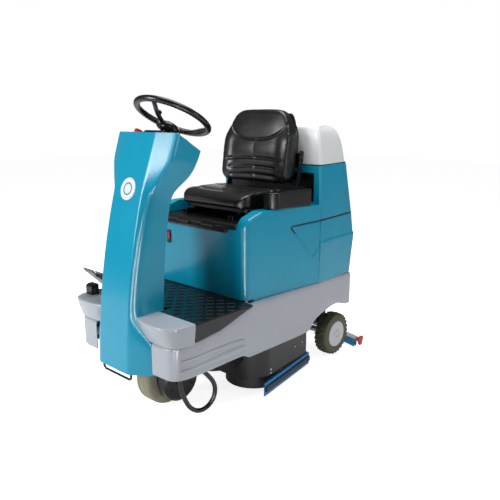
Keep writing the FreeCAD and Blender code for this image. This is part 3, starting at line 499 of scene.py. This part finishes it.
creaseEdges(cowl, lambda a, b, bend: min(a.z, b.z) > 1140 and bend > 25, 1.0)
creaseEdges(cowl, lambda a, b, bend: abs(a.z - b.z) > 20 and 89 < abs(a.x) < 101 and 89 < abs(b.x) < 101
            and a.y < -540 and b.y < -540, cowlValues["cornerCrease"])
creaseEdges(cowl, lambda a, b, bend: abs(a.z - b.z) > 20 and min(a.z, b.z) > 985 and abs(a.x) > 125
            and abs(b.x) > 125 and a.y < -515 and b.y < -515, cowlValues["wingCrease"])
modify(cowl, "SUBSURF", levels=3, render_levels=3)
faceOutwards(cowl)
modify(cowl, "SOLIDIFY", thickness=cowlValues["wall"] * mm, offset=-1)
smooth(cowl, 40, False)
finishPiece(cowl, "cowlShell", "chassis", finishes["tealPolyethylene"], ["cowl"])

badgeValues = {"centre": (0, -625.6, 997), "slope": 18.2, "radius": 47, "ring": 3.2}      # a plain ring, no mark
lean = math.radians(badgeValues["slope"])
badgeOut = Vector((0, -math.cos(lean), math.sin(lean)))
badge = turned("badgeForm", badgeValues["centre"], badgeOut,
               [(-4, badgeValues["radius"]), (2.2, badgeValues["radius"]), (3.0, 46), (3.0, 43.5), (2.2, 42.5),
                (2.6, 40), (2.9, 20), (3.0, 0.5)], 72)
smooth(badge, 30)
finishPiece(badge, "badgeDisc", "chassis", finishes["whiteAbs"])
crest = badgeValues["ring"]
badgeRing = turned("badgeRingForm", badgeValues["centre"], badgeOut,
                   [(0, 27), (crest, 27), (crest + 0.4, 24), (crest, 21), (0, 21)], 64)
smooth(badgeRing, 30)
finishPiece(badgeRing, "badgeRing", "chassis", finishes["tealPolyethylene"])
print("cowl moulded")


# lower body: side band with a rolled top edge, raised arches and two tapering ribs

bandValues = {"wall": 4.0, "roll": 13.0}
bandStations = [
    # x, y, lower edge, upper edge
    (196, -692, 262, 399), (250, -692, 262, 399.5), (294, -690, 262, 400), (316, -679, 262, 402),
    (331, -655, 262, 405), (338, -625, 262, 408), (342, -585, 262, 410.5), (342, -520, 262, 417),
    (342, -450, 262, 424.5), (342, -370, 262, 446), (342, -315, 262, 462), (342, -292, 256, 468.5),
    (342, -270, 244.5, 474), (342, -230, 242, 478.5), (342, -60, 240, 477.5), (342, 90, 238.5, 475.5),
    (341.5, 177, 239, 474), (340, 205, 263, 473.5), (338.5, 240, 289, 473), (335.5, 300, 303, 472),
    (331.5, 370, 315, 469.5), (327, 439, 321, 466.5), (323, 500, 303, 463), (321, 534, 287, 461),
    (316, 588, 284.5, 459.5), (303, 603, 284.5, 458.5), (270, 605.5, 284.5, 458), (130, 605.5, 284.5, 458),
    (0, 605.5, 284.5, 458)]
bandRows = [[], [], [], [], [], [], []]
for i, (x, y, low, high) in enumerate(bandStations):
    back = bandStations[max(i - 1, 0)]
    ahead = bandStations[min(i + 1, len(bandStations) - 1)]
    way = Vector((ahead[0] - back[0], ahead[1] - back[1], 0)).normalized()
    inward = Vector((-way.y, way.x, 0))
    levels = [(7, low + 1.5), (0.5, low), (0, low + 8), (0, (low + high) / 2), (0, high - bandValues["roll"]),
              (3, high - 1.5), (34, high)]
    for row, (reach, z) in zip(bandRows, levels):
        row.append((x + inward.x * reach, y + inward.y * reach, z))
band = sheetOf("bandForm", bandRows)
mirrorHalf(band)
creaseEdges(band, lambda a, b, bend: abs(a.x) > 341 and abs(b.x) > 341 and abs(a.z - b.z) < 20 and a.y > -330
            and b.y > -330 and min(a.z, b.z) < 250, 0.7)
modify(band, "SUBSURF", levels=2, render_levels=2)
faceOutwards(band)
middleFace = min(band.data.polygons, key=lambda f: (f.center - Vector((0.342, -0.06, 0.36))).length)
if middleFace.normal.x < 0:
    openWhole(band)
    bpy.ops.mesh.flip_normals()
    closeEdit()
modify(band, "SOLIDIFY", thickness=bandValues["wall"] * mm, offset=-1)
smooth(band, 50, False)

ribValues = {"flank": 342, "proud": 4.5, "wall": 1.5,
             # y, z, half height
             "ribs": [((-650, 343, 5), (-560, 345, 9), (-420, 341, 14), (-322, 336, 15), (-300, 332, 11)),
                      ((-655, 300, 5), (-560, 303, 11), (-420, 303, 18), (-312, 300, 19), (-290, 297, 13))]}
ribs = []
for side in (1, -1):
    for line in ribValues["ribs"]:
        rows = []
        for y, z, half in line:
            proud = ribValues["flank"] + ribValues["proud"] * min(1, half / 11)
            edge = 340.5 if y > -600 else 335
            rows.append([(side * edge, y, z - half), (side * (proud - 1.2), y, z - half * 0.6), (side * proud, y, z),
                         (side * (proud - 1.2), y, z + half * 0.6), (side * edge, y, z + half)])
        first, last = line[0], line[-1]
        rows.insert(0, [(side * 333, first[0] - 8, first[1])] * 5)
        rows.append([(side * 340, last[0] + 12, last[1])] * 5)
        rib = sheetOf("ribForm", rows)
        faceOutwards(rib, 0.1)
        modify(rib, "SUBSURF", levels=2, render_levels=2)
        modify(rib, "SOLIDIFY", thickness=ribValues["wall"] * mm, offset=-1)
        smooth(rib, 60, False)
        ribs.append(rib)
band = merge([band] + ribs, "bandForm")
finishPiece(band, "lowerBodyBand", "chassis", finishes["greyPolyethylene"], ["lower_body"])
print("lower body moulded")


# tanks: rings of corners stacked up, then rounded

def ringStack(name, rings):
    deselectAll()
    count = len(rings[0][1])
    bpy.ops.mesh.primitive_circle_add(vertices=count, radius=0.2, fill_type="NGON")
    piece = bpy.context.object
    piece.name = name
    for level, (z, corners) in enumerate(rings):
        openEdit(piece, "FACE" if level else "VERT")
        shape = bmesh.from_edit_mesh(piece.data)
        ring = list(shape.verts)
        if level:
            max(shape.faces, key=lambda f: f.calc_center_median().z).select_set(True)
            bpy.ops.mesh.extrude_region_move(TRANSFORM_OT_translate={"value": (0, 0, 0.001)})
            shape = bmesh.from_edit_mesh(piece.data)
            ring = [v for v in shape.verts if v.select]
        centre = sum((v.co for v in ring), Vector()) / count
        order = [v.index for v in sorted(ring, key=lambda v: math.atan2(v.co.y - centre.y, v.co.x - centre.x))]
        middleX, middleY = [sum(c[axis] for c in corners) / count for axis in (0, 1)]
        spots = sorted(corners, key=lambda c: math.atan2(c[1] - middleY, c[0] - middleX))
        bpy.ops.mesh.select_mode(type="VERT")
        for index, corner in zip(order, spots):
            dragTo(piece, index, point(*corner, z))
        closeEdit()
    faceOutwards(piece)
    return piece


def fourCorners(front, back, yFront, yBack):
    return [(front, yFront), (back, yBack), (-back, yBack), (-front, yFront)]


def upright(a, b):
    return abs(a.z - b.z) > 8 and math.hypot(a.x - b.x, a.y - b.y) < abs(a.z - b.z)


tankValues = {"corner": 32, "frontEdge": 12, "recess": 14, "lidRear": 50, "lidFront": 20}
rearBody = ringStack("rearBodyForm", [
    (459, fourCorners(329, 304, 267, 608)), (668, fourCorners(336, 313, 267, 624.5)),
    (675, fourCorners(336.5, 313.5, 267, 625.5)), (682, fourCorners(332.5, 309, 267, 621)),
    (785, fourCorners(331, 300, 267, 612))])
roundEdges(rearBody, lambda a, b, bend: upright(a, b) and a.y > 500 or
           (abs(a.z - b.z) > 3 and a.y > 500 and abs(a.x) > 250 and abs(a.x - b.x) < 40 and b.y > 500),
           tankValues["corner"], 8)
soften(rearBody, 3.5, 3, 22)
finishPiece(rearBody, "rearBodyShell", "chassis", finishes["tealPolyethylene"], ["rear_body"])

tankSolids = solidsOf("recovery_tank")
tank = ringStack("tankForm", [(790, fourCorners(331, 300, 267, 610)), (1053, fourCorners(322, 284, 267, 565))])
roundEdges(tank, lambda a, b, bend: upright(a, b) and a.y > 500, tankValues["corner"], 8)
roundEdges(tank, lambda a, b, bend: upright(a, b) and a.y < 300 and bend > 60, tankValues["frontEdge"], 5)
openEdit(tank)
for place, normal in (((0, 0, 0.872), (0, 0, 1)), ((0, 0, 1.014), (0, 0, 1)), ((0.282, 0, 0), (1, 0, 0)),
                      ((-0.282, 0, 0), (1, 0, 0))):
    bpy.ops.mesh.select_all(action="SELECT")
    bpy.ops.mesh.bisect(plane_co=place, plane_no=normal)
closeEdit()
pickFaces(tank, lambda c, n: n.y < -0.9 and abs(c.x) < 281 and 873 < c.z < 1013)
bpy.ops.mesh.extrude_region_move(TRANSFORM_OT_translate={"value": point(0, tankValues["recess"], 0)})
closeEdit()
openWhole(tank)
bpy.ops.mesh.dissolve_limited(angle_limit=math.radians(0.5))
closeEdit()
soften(tank, 4, 3, 35)
finishPiece(tank, "recoveryTankShell", "chassis", finishes["tealPolyethylene"], ["recovery_tank"])
for form, name, finish in zip(tankSolids[1:], ("lidGasket", "lidHingeKnuckles"), ("mouldedRubber", "zincPlatedSteel")):
    soften(form, 0.5, 2)
    finishPiece(form, name, "chassis",
                finishes[finish])
bpy.data.objects.remove(tankSolids[0])

lidSolids = solidsOf("tank_lid")
lid = ringStack("lidForm", [
    (1057.5, fourCorners(321, 283, 268, 563)), (1075, fourCorners(321, 283, 268, 560)),
    (1140, fourCorners(318, 280, 268, 544)), (1200, fourCorners(309, 270, 270, 524)),
    (1236, fourCorners(288, 252, 282, 490)), (1247, fourCorners(250, 220, 304, 430))])
roundEdges(lid, lambda a, b, bend: abs(a.z - b.z) > 8 and a.y > 400 and b.y > 400, tankValues["lidRear"], 6)
roundEdges(lid, lambda a, b, bend: abs(a.z - b.z) > 8 and a.y < 330 and b.y < 330 and bend > 40,
           tankValues["lidFront"], 4)
creaseEdges(lid, lambda a, b, bend: max(a.z, b.z) < 1060, 1.0)
modify(lid, "SUBSURF", levels=2, render_levels=2)
smooth(lid, 40, False)
finishPiece(lid, "tankLidDome", "lid", finishes["lidPolyethylene"], ["tank_lid"])
leaves = merge(lidSolids[1:], "lidHingeLeaves")
soften(leaves, 0.6, 2)
finishPiece(leaves, "lidHingeLeaves", "lid", finishes["zincPlatedSteel"])
bpy.data.objects.remove(lidSolids[0])


def flankAt(y):      # half width of the seat base, which widens to the rear
    return 304 + (y + 251) * 0.0521


seatBase = copyOf("seat_base")
roundEdges(seatBase, lambda a, b, bend: min(abs(a.x), abs(b.x)) > 296 and min(a.z, b.z) > 806 and bend > 40
           and max(a.y, b.y) < 264, 13, 5)
roundEdges(seatBase, lambda a, b, bend: 780 > max(a.z, b.z) and min(a.z, b.z) > 608 and min(abs(a.x), abs(b.x)) > 305
           and min(a.y, b.y) > 44 and max(a.y, b.y) < 264 and bend > 60
           and min(abs(a.x) - flankAt(a.y), abs(b.x) - flankAt(b.y)) > -0.4, 3.6, 3)
roundEdges(seatBase, lambda a, b, bend: min(a.y, b.y) > 265 and min(abs(a.x), abs(b.x)) > 325 and bend > 60, 4, 3)
smooth(seatBase)
finishPiece(seatBase, "seatBaseTank", "chassis", finishes["tealPolyethylene"], ["seat_base"])
insets = copyOf("side_insets")
soften(insets, 2.6, 3, 40)
finishPiece(insets, "sideInsetPanels", "chassis", finishes["tealPolyethylene"], ["side_insets"])
print("tanks moulded")


# corner covers: bowls between the cowl and the deck, rounded over their top edge

coverValues = {"edge": 9.0,
               "top": [(104, -640), (122, -704), (165, -718), (225, -724), (285, -720), (326, -701), (346, -664),
                       (351.5, -620), (351.5, -591), (104, -591)],
               "foot": [(104, -640), (140, -680), (185, -690), (235, -693), (290, -691), (322, -677), (337, -646),
                        (343, -610), (343.5, -591), (104, -591)]}
covers = ringStack("coverForm", [(402, coverValues["foot"]),
                                 (446, [((a[0] * 0.4 + b[0] * 0.6), (a[1] * 0.4 + b[1] * 0.6))
                                        for a, b in zip(coverValues["foot"], coverValues["top"])]),
                                 (490, coverValues["top"])])
roundEdges(covers, lambda a, b, bend: min(a.z, b.z) > 489 and max(a.y, b.y) < -590 and min(a.x, b.x) > 110,
           coverValues["edge"], 5)
modify(covers, "MIRROR", use_axis=(True, False, False), use_mirror_merge=False)
smooth(covers, 50)
finishPiece(covers, "cornerCovers", "chassis", finishes["greyPolyethylene"], ["corner_covers"])

# foot mat: rubber with raised lozenges, each a small frustum with a raised middle

matValues = {"pitch": 64.0, "pad": 26.0, "height": 4.6, "sheet": 484.3, "top": 487.0, "lift": 2.8,
             "taper": 0.8, "rim": 9.0, "crown": 1.6, "middle": -421, "reach": 330, "front": -568, "rear": -272,
             "notch": (137, -531)}
matSolid = copyOf("foot_mat")
openWhole(matSolid)
bpy.ops.transform.resize(value=(1, 1, 0.5), center_override=point(0, 0, matValues["sheet"]))
closeEdit()
deselectAll()
bpy.ops.mesh.primitive_cylinder_add(vertices=4, radius=matValues["pad"] * mm, depth=matValues["height"] * mm,
                                    location=point(0, 0,
                                                   matValues["top"] - matValues["height"] / 2 + matValues["lift"]),
                                    end_fill_type="NGON")
pad = bpy.context.object
settle(pad)
pickFaces(pad, lambda c, n: n.z > 0.9)
bpy.ops.transform.resize(value=(matValues["taper"], matValues["taper"], 1))
bpy.ops.mesh.inset(thickness=matValues["rim"] * mm, depth=matValues["crown"] * mm)
closeEdit()
pads = []
half = matValues["pitch"] / 2
for row in range(-8, 9):
    for column in range(-12, 13):
        x, y = column * half, matValues["middle"] + row * half
        if (row + column) % 2 or abs(x) > matValues["reach"] or not matValues["front"] < y < matValues["rear"]:
            continue
        if abs(x) < matValues["notch"][0] and y < matValues["notch"][1]:      # the column's foot stands here
            continue
        lozenge = bpy.data.objects.new("matPad", pad.data.copy())
        lozenge.data.transform(Matrix.Translation(point(x, y, 0)))
        bpy.context.scene.collection.objects.link(lozenge)
        pads.append(lozenge)
bpy.data.objects.remove(pad)
footMat = merge([matSolid] + pads, "footMatForm")
smooth(footMat, 30, False)
finishPiece(footMat, "footMatPadded", "chassis", finishes["deckRubber"], ["foot_mat"])
print("deck covered")


# upholstery: foam under embossed vinyl, blown up as cloth, then sewn

foamValues = {"voxel": 6.0, "ease": 24, "pressure": 4.0, "tension": 40, "bending": 12, "frames": 20, "cap": 14.0,
              "relax": 160, "fill": 0.75}


def inflatedPad(node, values):
    low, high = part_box(node)
    pad = copyOf(node)
    openWhole(pad)
    bpy.ops.transform.resize(value=values["shrink"], center_override=(low + high) / 2)
    closeEdit()
    pad.data.remesh_voxel_size = foamValues["voxel"] * mm
    only(pad)
    bpy.ops.object.voxel_remesh()
    modify(pad, "SMOOTH", factor=0.5, iterations=foamValues["ease"])
    start = [v.co.copy() for v in pad.data.vertices]
    held = pad.vertex_groups.new(name="held")
    held.add([v.index for v in pad.data.vertices if values["rests"](v.co / mm)], 1.0, "REPLACE")
    only(pad)
    cloth = pad.modifiers.new("Cloth", "CLOTH")
    cloth.settings.vertex_group_mass = "held"
    cloth.settings.use_pressure = True
    cloth.settings.uniform_pressure_force = foamValues["pressure"]
    cloth.settings.effector_weights.gravity = 0
    cloth.settings.quality = 5
    cloth.settings.tension_stiffness = foamValues["tension"]
    cloth.settings.compression_stiffness = foamValues["tension"]
    cloth.settings.bending_stiffness = foamValues["bending"]
    for moment in range(1, foamValues["frames"] + 1):
        bpy.context.scene.frame_set(moment)
    blown = pad.evaluated_get(bpy.context.evaluated_depsgraph_get())
    ends = [v.co.copy() for v in blown.data.vertices]
    pad.modifiers.remove(cloth)
    bpy.context.scene.frame_set(1)
    steps = numpy.array([there - here for here, there in zip(start, ends)])
    reach = numpy.maximum(numpy.linalg.norm(steps, axis=1), 1e-9)[:, None]
    limit = foamValues["cap"] * mm
    steps *= limit * numpy.tanh(reach / limit) / reach
    pairs = numpy.array([edge.vertices[:] for edge in pad.data.edges])
    pairs = numpy.concatenate([pairs, pairs[:, ::-1]])
    sharing = numpy.bincount(pairs[:, 0], minlength=len(steps))[:, None]
    for _ in range(foamValues["relax"]):      # the foam evens out the skin's small folds
        around = numpy.stack([numpy.bincount(pairs[:, 0], steps[pairs[:, 1], axis], len(steps))
                              for axis in range(3)], axis=1) / sharing
        steps = 0.4 * steps + 0.6 * around
    for vertex, here, step in zip(pad.data.vertices, start, steps):
        vertex.co = here + Vector(step)
    pad.vertex_groups.clear()
    modify(pad, "SUBSURF", levels=1, render_levels=1)
    return pad


def sew(pad, way, faces, shapes):      # moves the faces that look along way by the sum of the shapes, in mm
    pad.data.update()
    moves = []
    for vertex in pad.data.vertices:
        spot = vertex.co / mm
        share = max(0.0, min(1.0, (vertex.normal.dot(way) - 0.15) / 0.45))
        moves.append(sum(shape(spot) for shape in shapes) * share * mm if faces(spot) else 0.0)
    for vertex, move in zip(pad.data.vertices, moves):
        vertex.co += Vector(way) * move
    pad.data.update()


def groove(distance, depth, width):      # a stitched line or a pleat
    return -depth * math.exp(-(distance / width) ** 2)


def swell(value, low, high, rise):      # 1 between low and high, easing to 0 outside
    return max(0.0, 0.5 * (math.tanh((value - low) / rise) - math.tanh((value - high) / rise)))


def reshape(pad, test):
    pad.data.update()
    for vertex in pad.data.vertices:
        vertex.co = Vector(test(vertex.co / mm)) * mm
    pad.data.update()


seatValues = {"shrink": (1.0, 1.0, 0.95), "rests": lambda c: c.z < 886}
seat = inflatedPad("seat_cushion", seatValues)
sew(seat, Vector((0, 0, 1)), lambda c: c.z > 890, [
    lambda c: 9 * swell(abs(c.x), 150, 260, 24) * swell(c.y, -120, 150, 30),
    lambda c: groove(c.y - 58 + (c.x / 90) ** 2 * 4, 6, 10),
    lambda c: groove(c.y - 104 + (c.x / 90) ** 2 * 4, 6, 10),
    lambda c: groove(c.y + 92 - (c.x / 80) ** 2 * 5, 3.0, 14)])
smooth(seat, 80, False)
finishPiece(seat, "seatCushionVinyl", "seat", finishes["embossedVinyl"], ["seat_cushion"])


def backShape(c):
    rise = max(0.0, (c.z - 1130) / 196)
    narrow = 1 - 0.1 * rise ** 2 - 0.1 * max(0.0, (1020 - c.z) / 60) ** 2
    drop = 34 * (abs(c.x) / 210) ** 4 * rise ** 2
    return (c.x * narrow, c.y, c.z - drop)


backValues = {"shrink": (1.0, 0.94, 1.0), "rests": lambda c: c.y > 180 + (c.z - 962) * 0.13}
back = inflatedPad("backrest_cushion", backValues)
reshape(back, backShape)
sew(back, Vector((0, -1, 0)), lambda c: True, [
    lambda c: groove(c.z - 1178 - 62 * (abs(c.x) / 180) ** 3.2, 9, 6) * swell(abs(c.x), -1, 185, 8),
    lambda c: groove(c.z - 1086 + 12 * (c.x / 190) ** 2, 8, 7) * swell(abs(c.x), -1, 176, 12),
    lambda c: groove(c.z - 1042 + 12 * (c.x / 190) ** 2, 6, 9) * swell(abs(c.x), -1, 158, 12),
    lambda c: groove(c.z - 1002 + 10 * (c.x / 190) ** 2, 5, 9) * swell(abs(c.x), -1, 158, 12),
    lambda c: 5 * swell(c.z, 1110, 1160, 20) * swell(abs(c.x), -1, 140, 30),
    lambda c: 12 * swell(abs(c.x), 158, 280, 20) * swell(c.z, 985, 1200, 24)])
smooth(back, 80, False)
finishPiece(back, "backrestCushionVinyl", "backrest", finishes["embossedVinyl"], ["backrest_cushion"])
print("upholstery sewn")


# steering wheel: moulded rim and spokes over a domed hub

wheelValues = {"centre": (0, -378.5, 1284), "tilt": 27.5, "rim": 160, "tube": 13.8, "waves": 60, "wave": 0.7,
               "spokes": (45, 165, 285), "spoke": 9.4, "knobDrop": 33, "knobReach": 96}
tilt = math.radians(wheelValues["tilt"])
downColumn = Vector((0, -math.sin(tilt), -math.cos(tilt)))
acrossColumn = Vector((0, math.cos(tilt), -math.sin(tilt)))


def onColumn(drop, across=0.0, side=0.0):
    spot = Vector(wheelValues["centre"]) + downColumn * drop + acrossColumn * across + Vector((side, 0, 0))
    return tuple(spot)


deselectAll()
bpy.ops.mesh.primitive_torus_add(major_radius=wheelValues["rim"] * mm, minor_radius=wheelValues["tube"] * mm,
                                 major_segments=180, minor_segments=24, location=point(*wheelValues["centre"]),
                                 rotation=(-tilt, 0, 0))
rim = bpy.context.object
settle(rim)
hubCentre = point(*wheelValues["centre"])
for vertex in rim.data.vertices:       # finger waves under the rim
    spot = vertex.co - hubCentre
    turn = math.atan2(spot.dot(acrossColumn), spot.x)
    under = max(0.0, spot.dot(downColumn) / (wheelValues["tube"] * mm))
    vertex.co -= downColumn * under * wheelValues["wave"] * mm * (1 + math.sin(turn * wheelValues["waves"]))
hub = turned("hubForm", onColumn(0), -downColumn, [(-78, 24), (-77, 27), (-72, 30), (-66, 41), (-52, 44), (-40, 40),
                                                   (-34, 32), (-33, 24.6), (-46, 24.4)], 56)
parts = [rim, hub]
for degrees in wheelValues["spokes"]:
    turn = math.radians(degrees)
    run = [onColumn(drop, reach * math.sin(turn), reach * math.cos(turn))
           for drop, reach in ((54, 22), (50, 50), (40, 88), (30, 112), (10, 140), (2, 158))]
    parts.append(barAlong("spokeForm", run, wheelValues["spoke"], 5))
knobTurn = math.radians(wheelValues["spokes"][-1])
knobSpot = onColumn(wheelValues["knobDrop"], wheelValues["knobReach"] * math.sin(knobTurn),
                    wheelValues["knobReach"] * math.cos(knobTurn))
parts.append(turned("switchForm", knobSpot, -downColumn,
                    [(-6, 11), (4, 13), (9, 13), (13, 10), (15, 5), (15.4, 0.5)], 32))
wheel = merge(parts, "wheelForm")
smooth(wheel, 50, False)
finishPiece(wheel, "steeringWheelMoulding", "steering", finishes["mouldedRubber"], ["steering_wheel"])
horn = turned("hornForm", onColumn(0), -downColumn,
              [(-39.5, 23.9), (-33, 23.9), (-30.5, 22.6), (-29.3, 18), (-29.0, 10), (-29.0, 0.5)], 48)
smooth(horn, 30)
finishPiece(horn, "hornButtonCap", "horn", finishes["blackAbs"], ["horn_button"])
print("steering wheel made")


# tyres: turned casings, the rear pair with chevron bars

frontTyre = turned("frontTyreForm", (0, -470, 135), (1, 0, 0), [
    (-45, 96.2), (-45, 118), (-42, 127), (-36, 132.5), (-29, 134.6), (-20, 134.9), (-19, 133.2), (-16, 133.2),
    (-15, 134.9), (15, 134.9), (16, 133.2), (19, 133.2), (20, 134.9), (29, 134.6), (36, 132.5), (42, 127), (45, 118),
    (45, 96.2)], 96)
smooth(frontTyre, 40)
finishPiece(frontTyre, "frontTyreTurned", "front_wheel", finishes["paleTyreRubber"],
            ["front_tyre"])

tyreValues = {"y": 504, "radius": 118, "inner": 220, "outer": 292, "bars": 26, "bar": (31, 9.5, 7),
              "barTop": (0.94, 0.72, 1), "barEnd": (1, 1.25, 0.8), "endShift": (0, 7, -3.6), "out": 18.5, "sunk": 4.3}
for side, name in ((1, "Left"), (-1, "Right")):
    radius, middle = tyreValues["radius"], (tyreValues["inner"] + tyreValues["outer"]) / 2
    casing = turned("casingForm", (side * middle, tyreValues["y"], radius), (side, 0, 0), [
        (-36, 72.5), (-36, radius - 18), (-32, radius - 10), (-24, radius - 6.5), (24, radius - 6.5),
        (32, radius - 10), (36, radius - 18), (36, 72.5)], 96)
    parts = [casing]
    for i in range(tyreValues["bars"] * 2):
        half = 1 if i % 2 else -1
        bar = block((0, 0, 0), tyreValues["bar"])
        pickFaces(bar, lambda c, n: n.z > 0.9)
        bpy.ops.transform.resize(value=tyreValues["barTop"])
        closeEdit()
        pickFaces(bar, lambda c, n: n.x * half > 0.9)
        bpy.ops.transform.resize(value=tyreValues["barEnd"])
        bpy.ops.transform.translate(value=point(*tyreValues["endShift"]))
        closeEdit()
        bar.data.transform(Matrix.Translation(point(side * middle + half * tyreValues["out"], 0,
                                                  radius - tyreValues["sunk"])))
        bar.data.transform(Matrix.Rotation(math.radians(360 / tyreValues["bars"] * (i // 2 + 0.5 * (i % 2))), 4, "X"))
        bar.data.transform(Matrix.Translation(point(0, tyreValues["y"], radius)))
        parts.append(bar)
    tyre = merge(parts, "tyreForm")
    smooth(tyre, 32, False)
    finishPiece(tyre, "rearTyre" + name, "rear_wheel_" + name.lower(),
                finishes["oliveTyreRubber"], ["rear_tyre_" + name.lower()])
print("tyres turned")


# small fittings

def domedBolts(name, places, axis, radius, body):
    heads = [turned("boltForm", place, axis, [(-1, radius), (radius * 0.35, radius), (radius * 0.62, radius * 0.8),
                                              (radius * 0.72, radius * 0.45), (radius * 0.5, radius * 0.4),
                                              (radius * 0.5, 0.3)], 20) for place in places]
    bolts = merge(heads, name)
    smooth(bolts, 30, False)
    finishPiece(bolts, name, body, finishes["zincPlatedSteel"])


domedBolts("deckWallBolts", [(349, -572, 424), (349, -572, 446)], (1, 0, 0), 4, "chassis")
domedBolts("brushDeckBolts", [(306, -76, 92), (306, -76, 110), (276.5, 150, 150), (267, 220, 150)],
           Vector((0.99, 0.135, 0)), 6, "brush_deck")

socketValues = {"place": (-199, -251, 716), "size": (26, 9, 62), "insertPlace": (-199, -254.5, 722),
                "insertSize": (17, 7, 40)}
socket = block(socketValues["place"], socketValues["size"])
pickFaces(socket, lambda c, n: n.y < -0.9)
bpy.ops.mesh.inset(thickness=0.003, depth=0)
bpy.ops.transform.translate(value=(0, 0.003, 0))
closeEdit()
soften(socket, 1.2, 2)
finishPiece(socket, "chargeSocketHousing", "chassis", finishes["blackAbs"])
plug = block(socketValues["insertPlace"], socketValues["insertSize"])
pickFaces(plug, lambda c, n: n.y < -0.9)
bpy.ops.transform.resize(value=(0.8, 1, 0.86))
closeEdit()
soften(plug, 1.5, 3)
finishPiece(plug, "chargeSocketInsert", "chassis", finishes["redPolyurethane"])

# painted shade: a black rubber ring in the seam between the rear body and the tank, standing in for the shade in that
# seam
seamShade = ringStack("seamShadeForm", [(784, fourCorners(331.2, 300.2, 266.8, 611)),
                              (791.5, fourCorners(330.9, 299.9, 266.8, 610))])
roundEdges(seamShade, lambda a, b, bend: abs(a.z - b.z) > 3 and a.y > 500, tankValues["corner"], 8)
smooth(seamShade)
finishPiece(seamShade, "tankSeamShade", "chassis", finishes["mouldedRubber"])

seamValues = {"seamShade": 2.8, "bead": 3.2, "matEdge": 5.5, "proud": 0.4}
seamShades, beads = [], []


def onFlank(side, y, z):
    return side * (flankAt(y) + seamValues["proud"]), y, z


# painted shade: black rubber bars along the insets' top seam and the mat's rear edge, standing in for the shade in
# those seams
for side in (1, -1):
    seamShades.append(barAlong("seamShadeForm", [onFlank(side, y, z) for y, z in (
        (266, 788), (160, 787), (62, 785.5), (50, 785), (45, 780), (52, 770), (74, 750))], seamValues["seamShade"]))
    beads.append(barAlong("beadForm", [onFlank(side, y, z) for y, z in (
        (76, 748), (110, 716), (196, 632), (208, 618), (214, 614), (221, 617), (232, 630), (264, 665))],
        seamValues["bead"]))
seamShades.append(barAlong("seamShadeForm", [(x, -257, 485.5) for x in (-303, -200, 0, 200, 303)],
                      seamValues["matEdge"]))
seamShades = merge(seamShades, "insetSeamShades")
finishPiece(seamShades, "insetSeamShades", "chassis", finishes["mouldedRubber"])
beads = merge(beads, "insetBeads")
finishPiece(beads, "insetBeads", "chassis", finishes["tealPolyethylene"])

flapValues = {"top": 77.0, "foot": 62.0}
flap = ringStack("flapForm", [(z, [(322, -118), (318, -118), (254, 280), (258, 281)])
                              for z in (flapValues["foot"], flapValues["top"])])
modify(flap, "MIRROR", use_axis=(True, False, False), use_mirror_merge=False)
soften(flap, 0.6, 2)
finishPiece(flap, "skirtFlaps", "brush_deck", finishes["powderCoatedSteel"])
print("fittings added")


# every other node: a copy with eased edges and its own finish

easedNodes = {
    # node: (finish, edge in mm)
    "cowl_rear_cover": ("blackAbs", 1), "floor_pan": ("powderCoatedSteel", 1.5),
    "tow_bar": ("powderCoatedSteel", 0), "drive_motor": ("powderCoatedSteel", 2), "front_rim": ("hubNylon", 1),
    "rear_axle": ("zincPlatedSteel", 1), "hose_fittings": ("blackAbs", 0.8), "dashboard": ("blackAbs", 2),
    "gear_lever": ("blackAbs", 0), "display_panel": ("displayWindow", 1.5), "dash_fittings": ("blackAbs", 0.8),
    "stop_button": ("redPolyurethane", 2), "key": ("zincPlatedSteel", 0.6), "flow_knob": ("blackAbs", 1.5),
    "steering_shaft": ("zincPlatedSteel", 0.5), "lower_shaft": ("zincPlatedSteel", 0.5),
    "steering_chain": ("zincPlatedSteel", 0.8), "steering_mast": ("powderCoatedSteel", 1),
    "chassis_frame": ("powderCoatedSteel", 1), "front_fork": ("powderCoatedSteel", 1.2),
    "accelerator_pedal": ("mouldedRubber", 2), "brake_pedal": ("mouldedRubber", 2),
    "pedal_brackets": ("powderCoatedSteel", 1), "consoles": ("blackAbs", 6), "batteries": ("blackAbs", 3),
    "vacuum_motor": ("blackAbs", 3), "tank_front_panel": ("blackAbs", 1), "seat_hinge": ("powderCoatedSteel", 0.8),
    "seat_plate": ("powderCoatedSteel", 1.5), "seat_pan": ("powderCoatedSteel", 1.5),
    "backrest_shell": ("blackAbs", 2), "deck_housing": ("powderCoatedSteel", 2),
    "brush_motors": ("powderCoatedSteel", 2), "lift_actuator": ("zincPlatedSteel", 1),
    "side_skirts": ("blueUrethane", 1), "squeegee_arm": ("powderCoatedSteel", 1),
    "squeegee_body": ("castAluminium", 1), "squeegee_blades": ("blueUrethane", 0.4),
    "squeegee_tips": ("redPolyurethane", 2), "brush_left": ("nylonBristle", 1),
    "brush_right": ("nylonBristle", 1), "rear_rim_left": ("hubNylon", 1), "rear_rim_right": ("hubNylon", 1),
}
for node, (finish, edge) in easedNodes.items():
    form = copyOf(node)
    if edge:
        soften(form, edge)
    else:
        smooth(form, 40)
    finishPiece(form, node + "Eased", nodes[node]["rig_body"], finishes[finish], [node])
print("eased copies:", len(easedNodes))
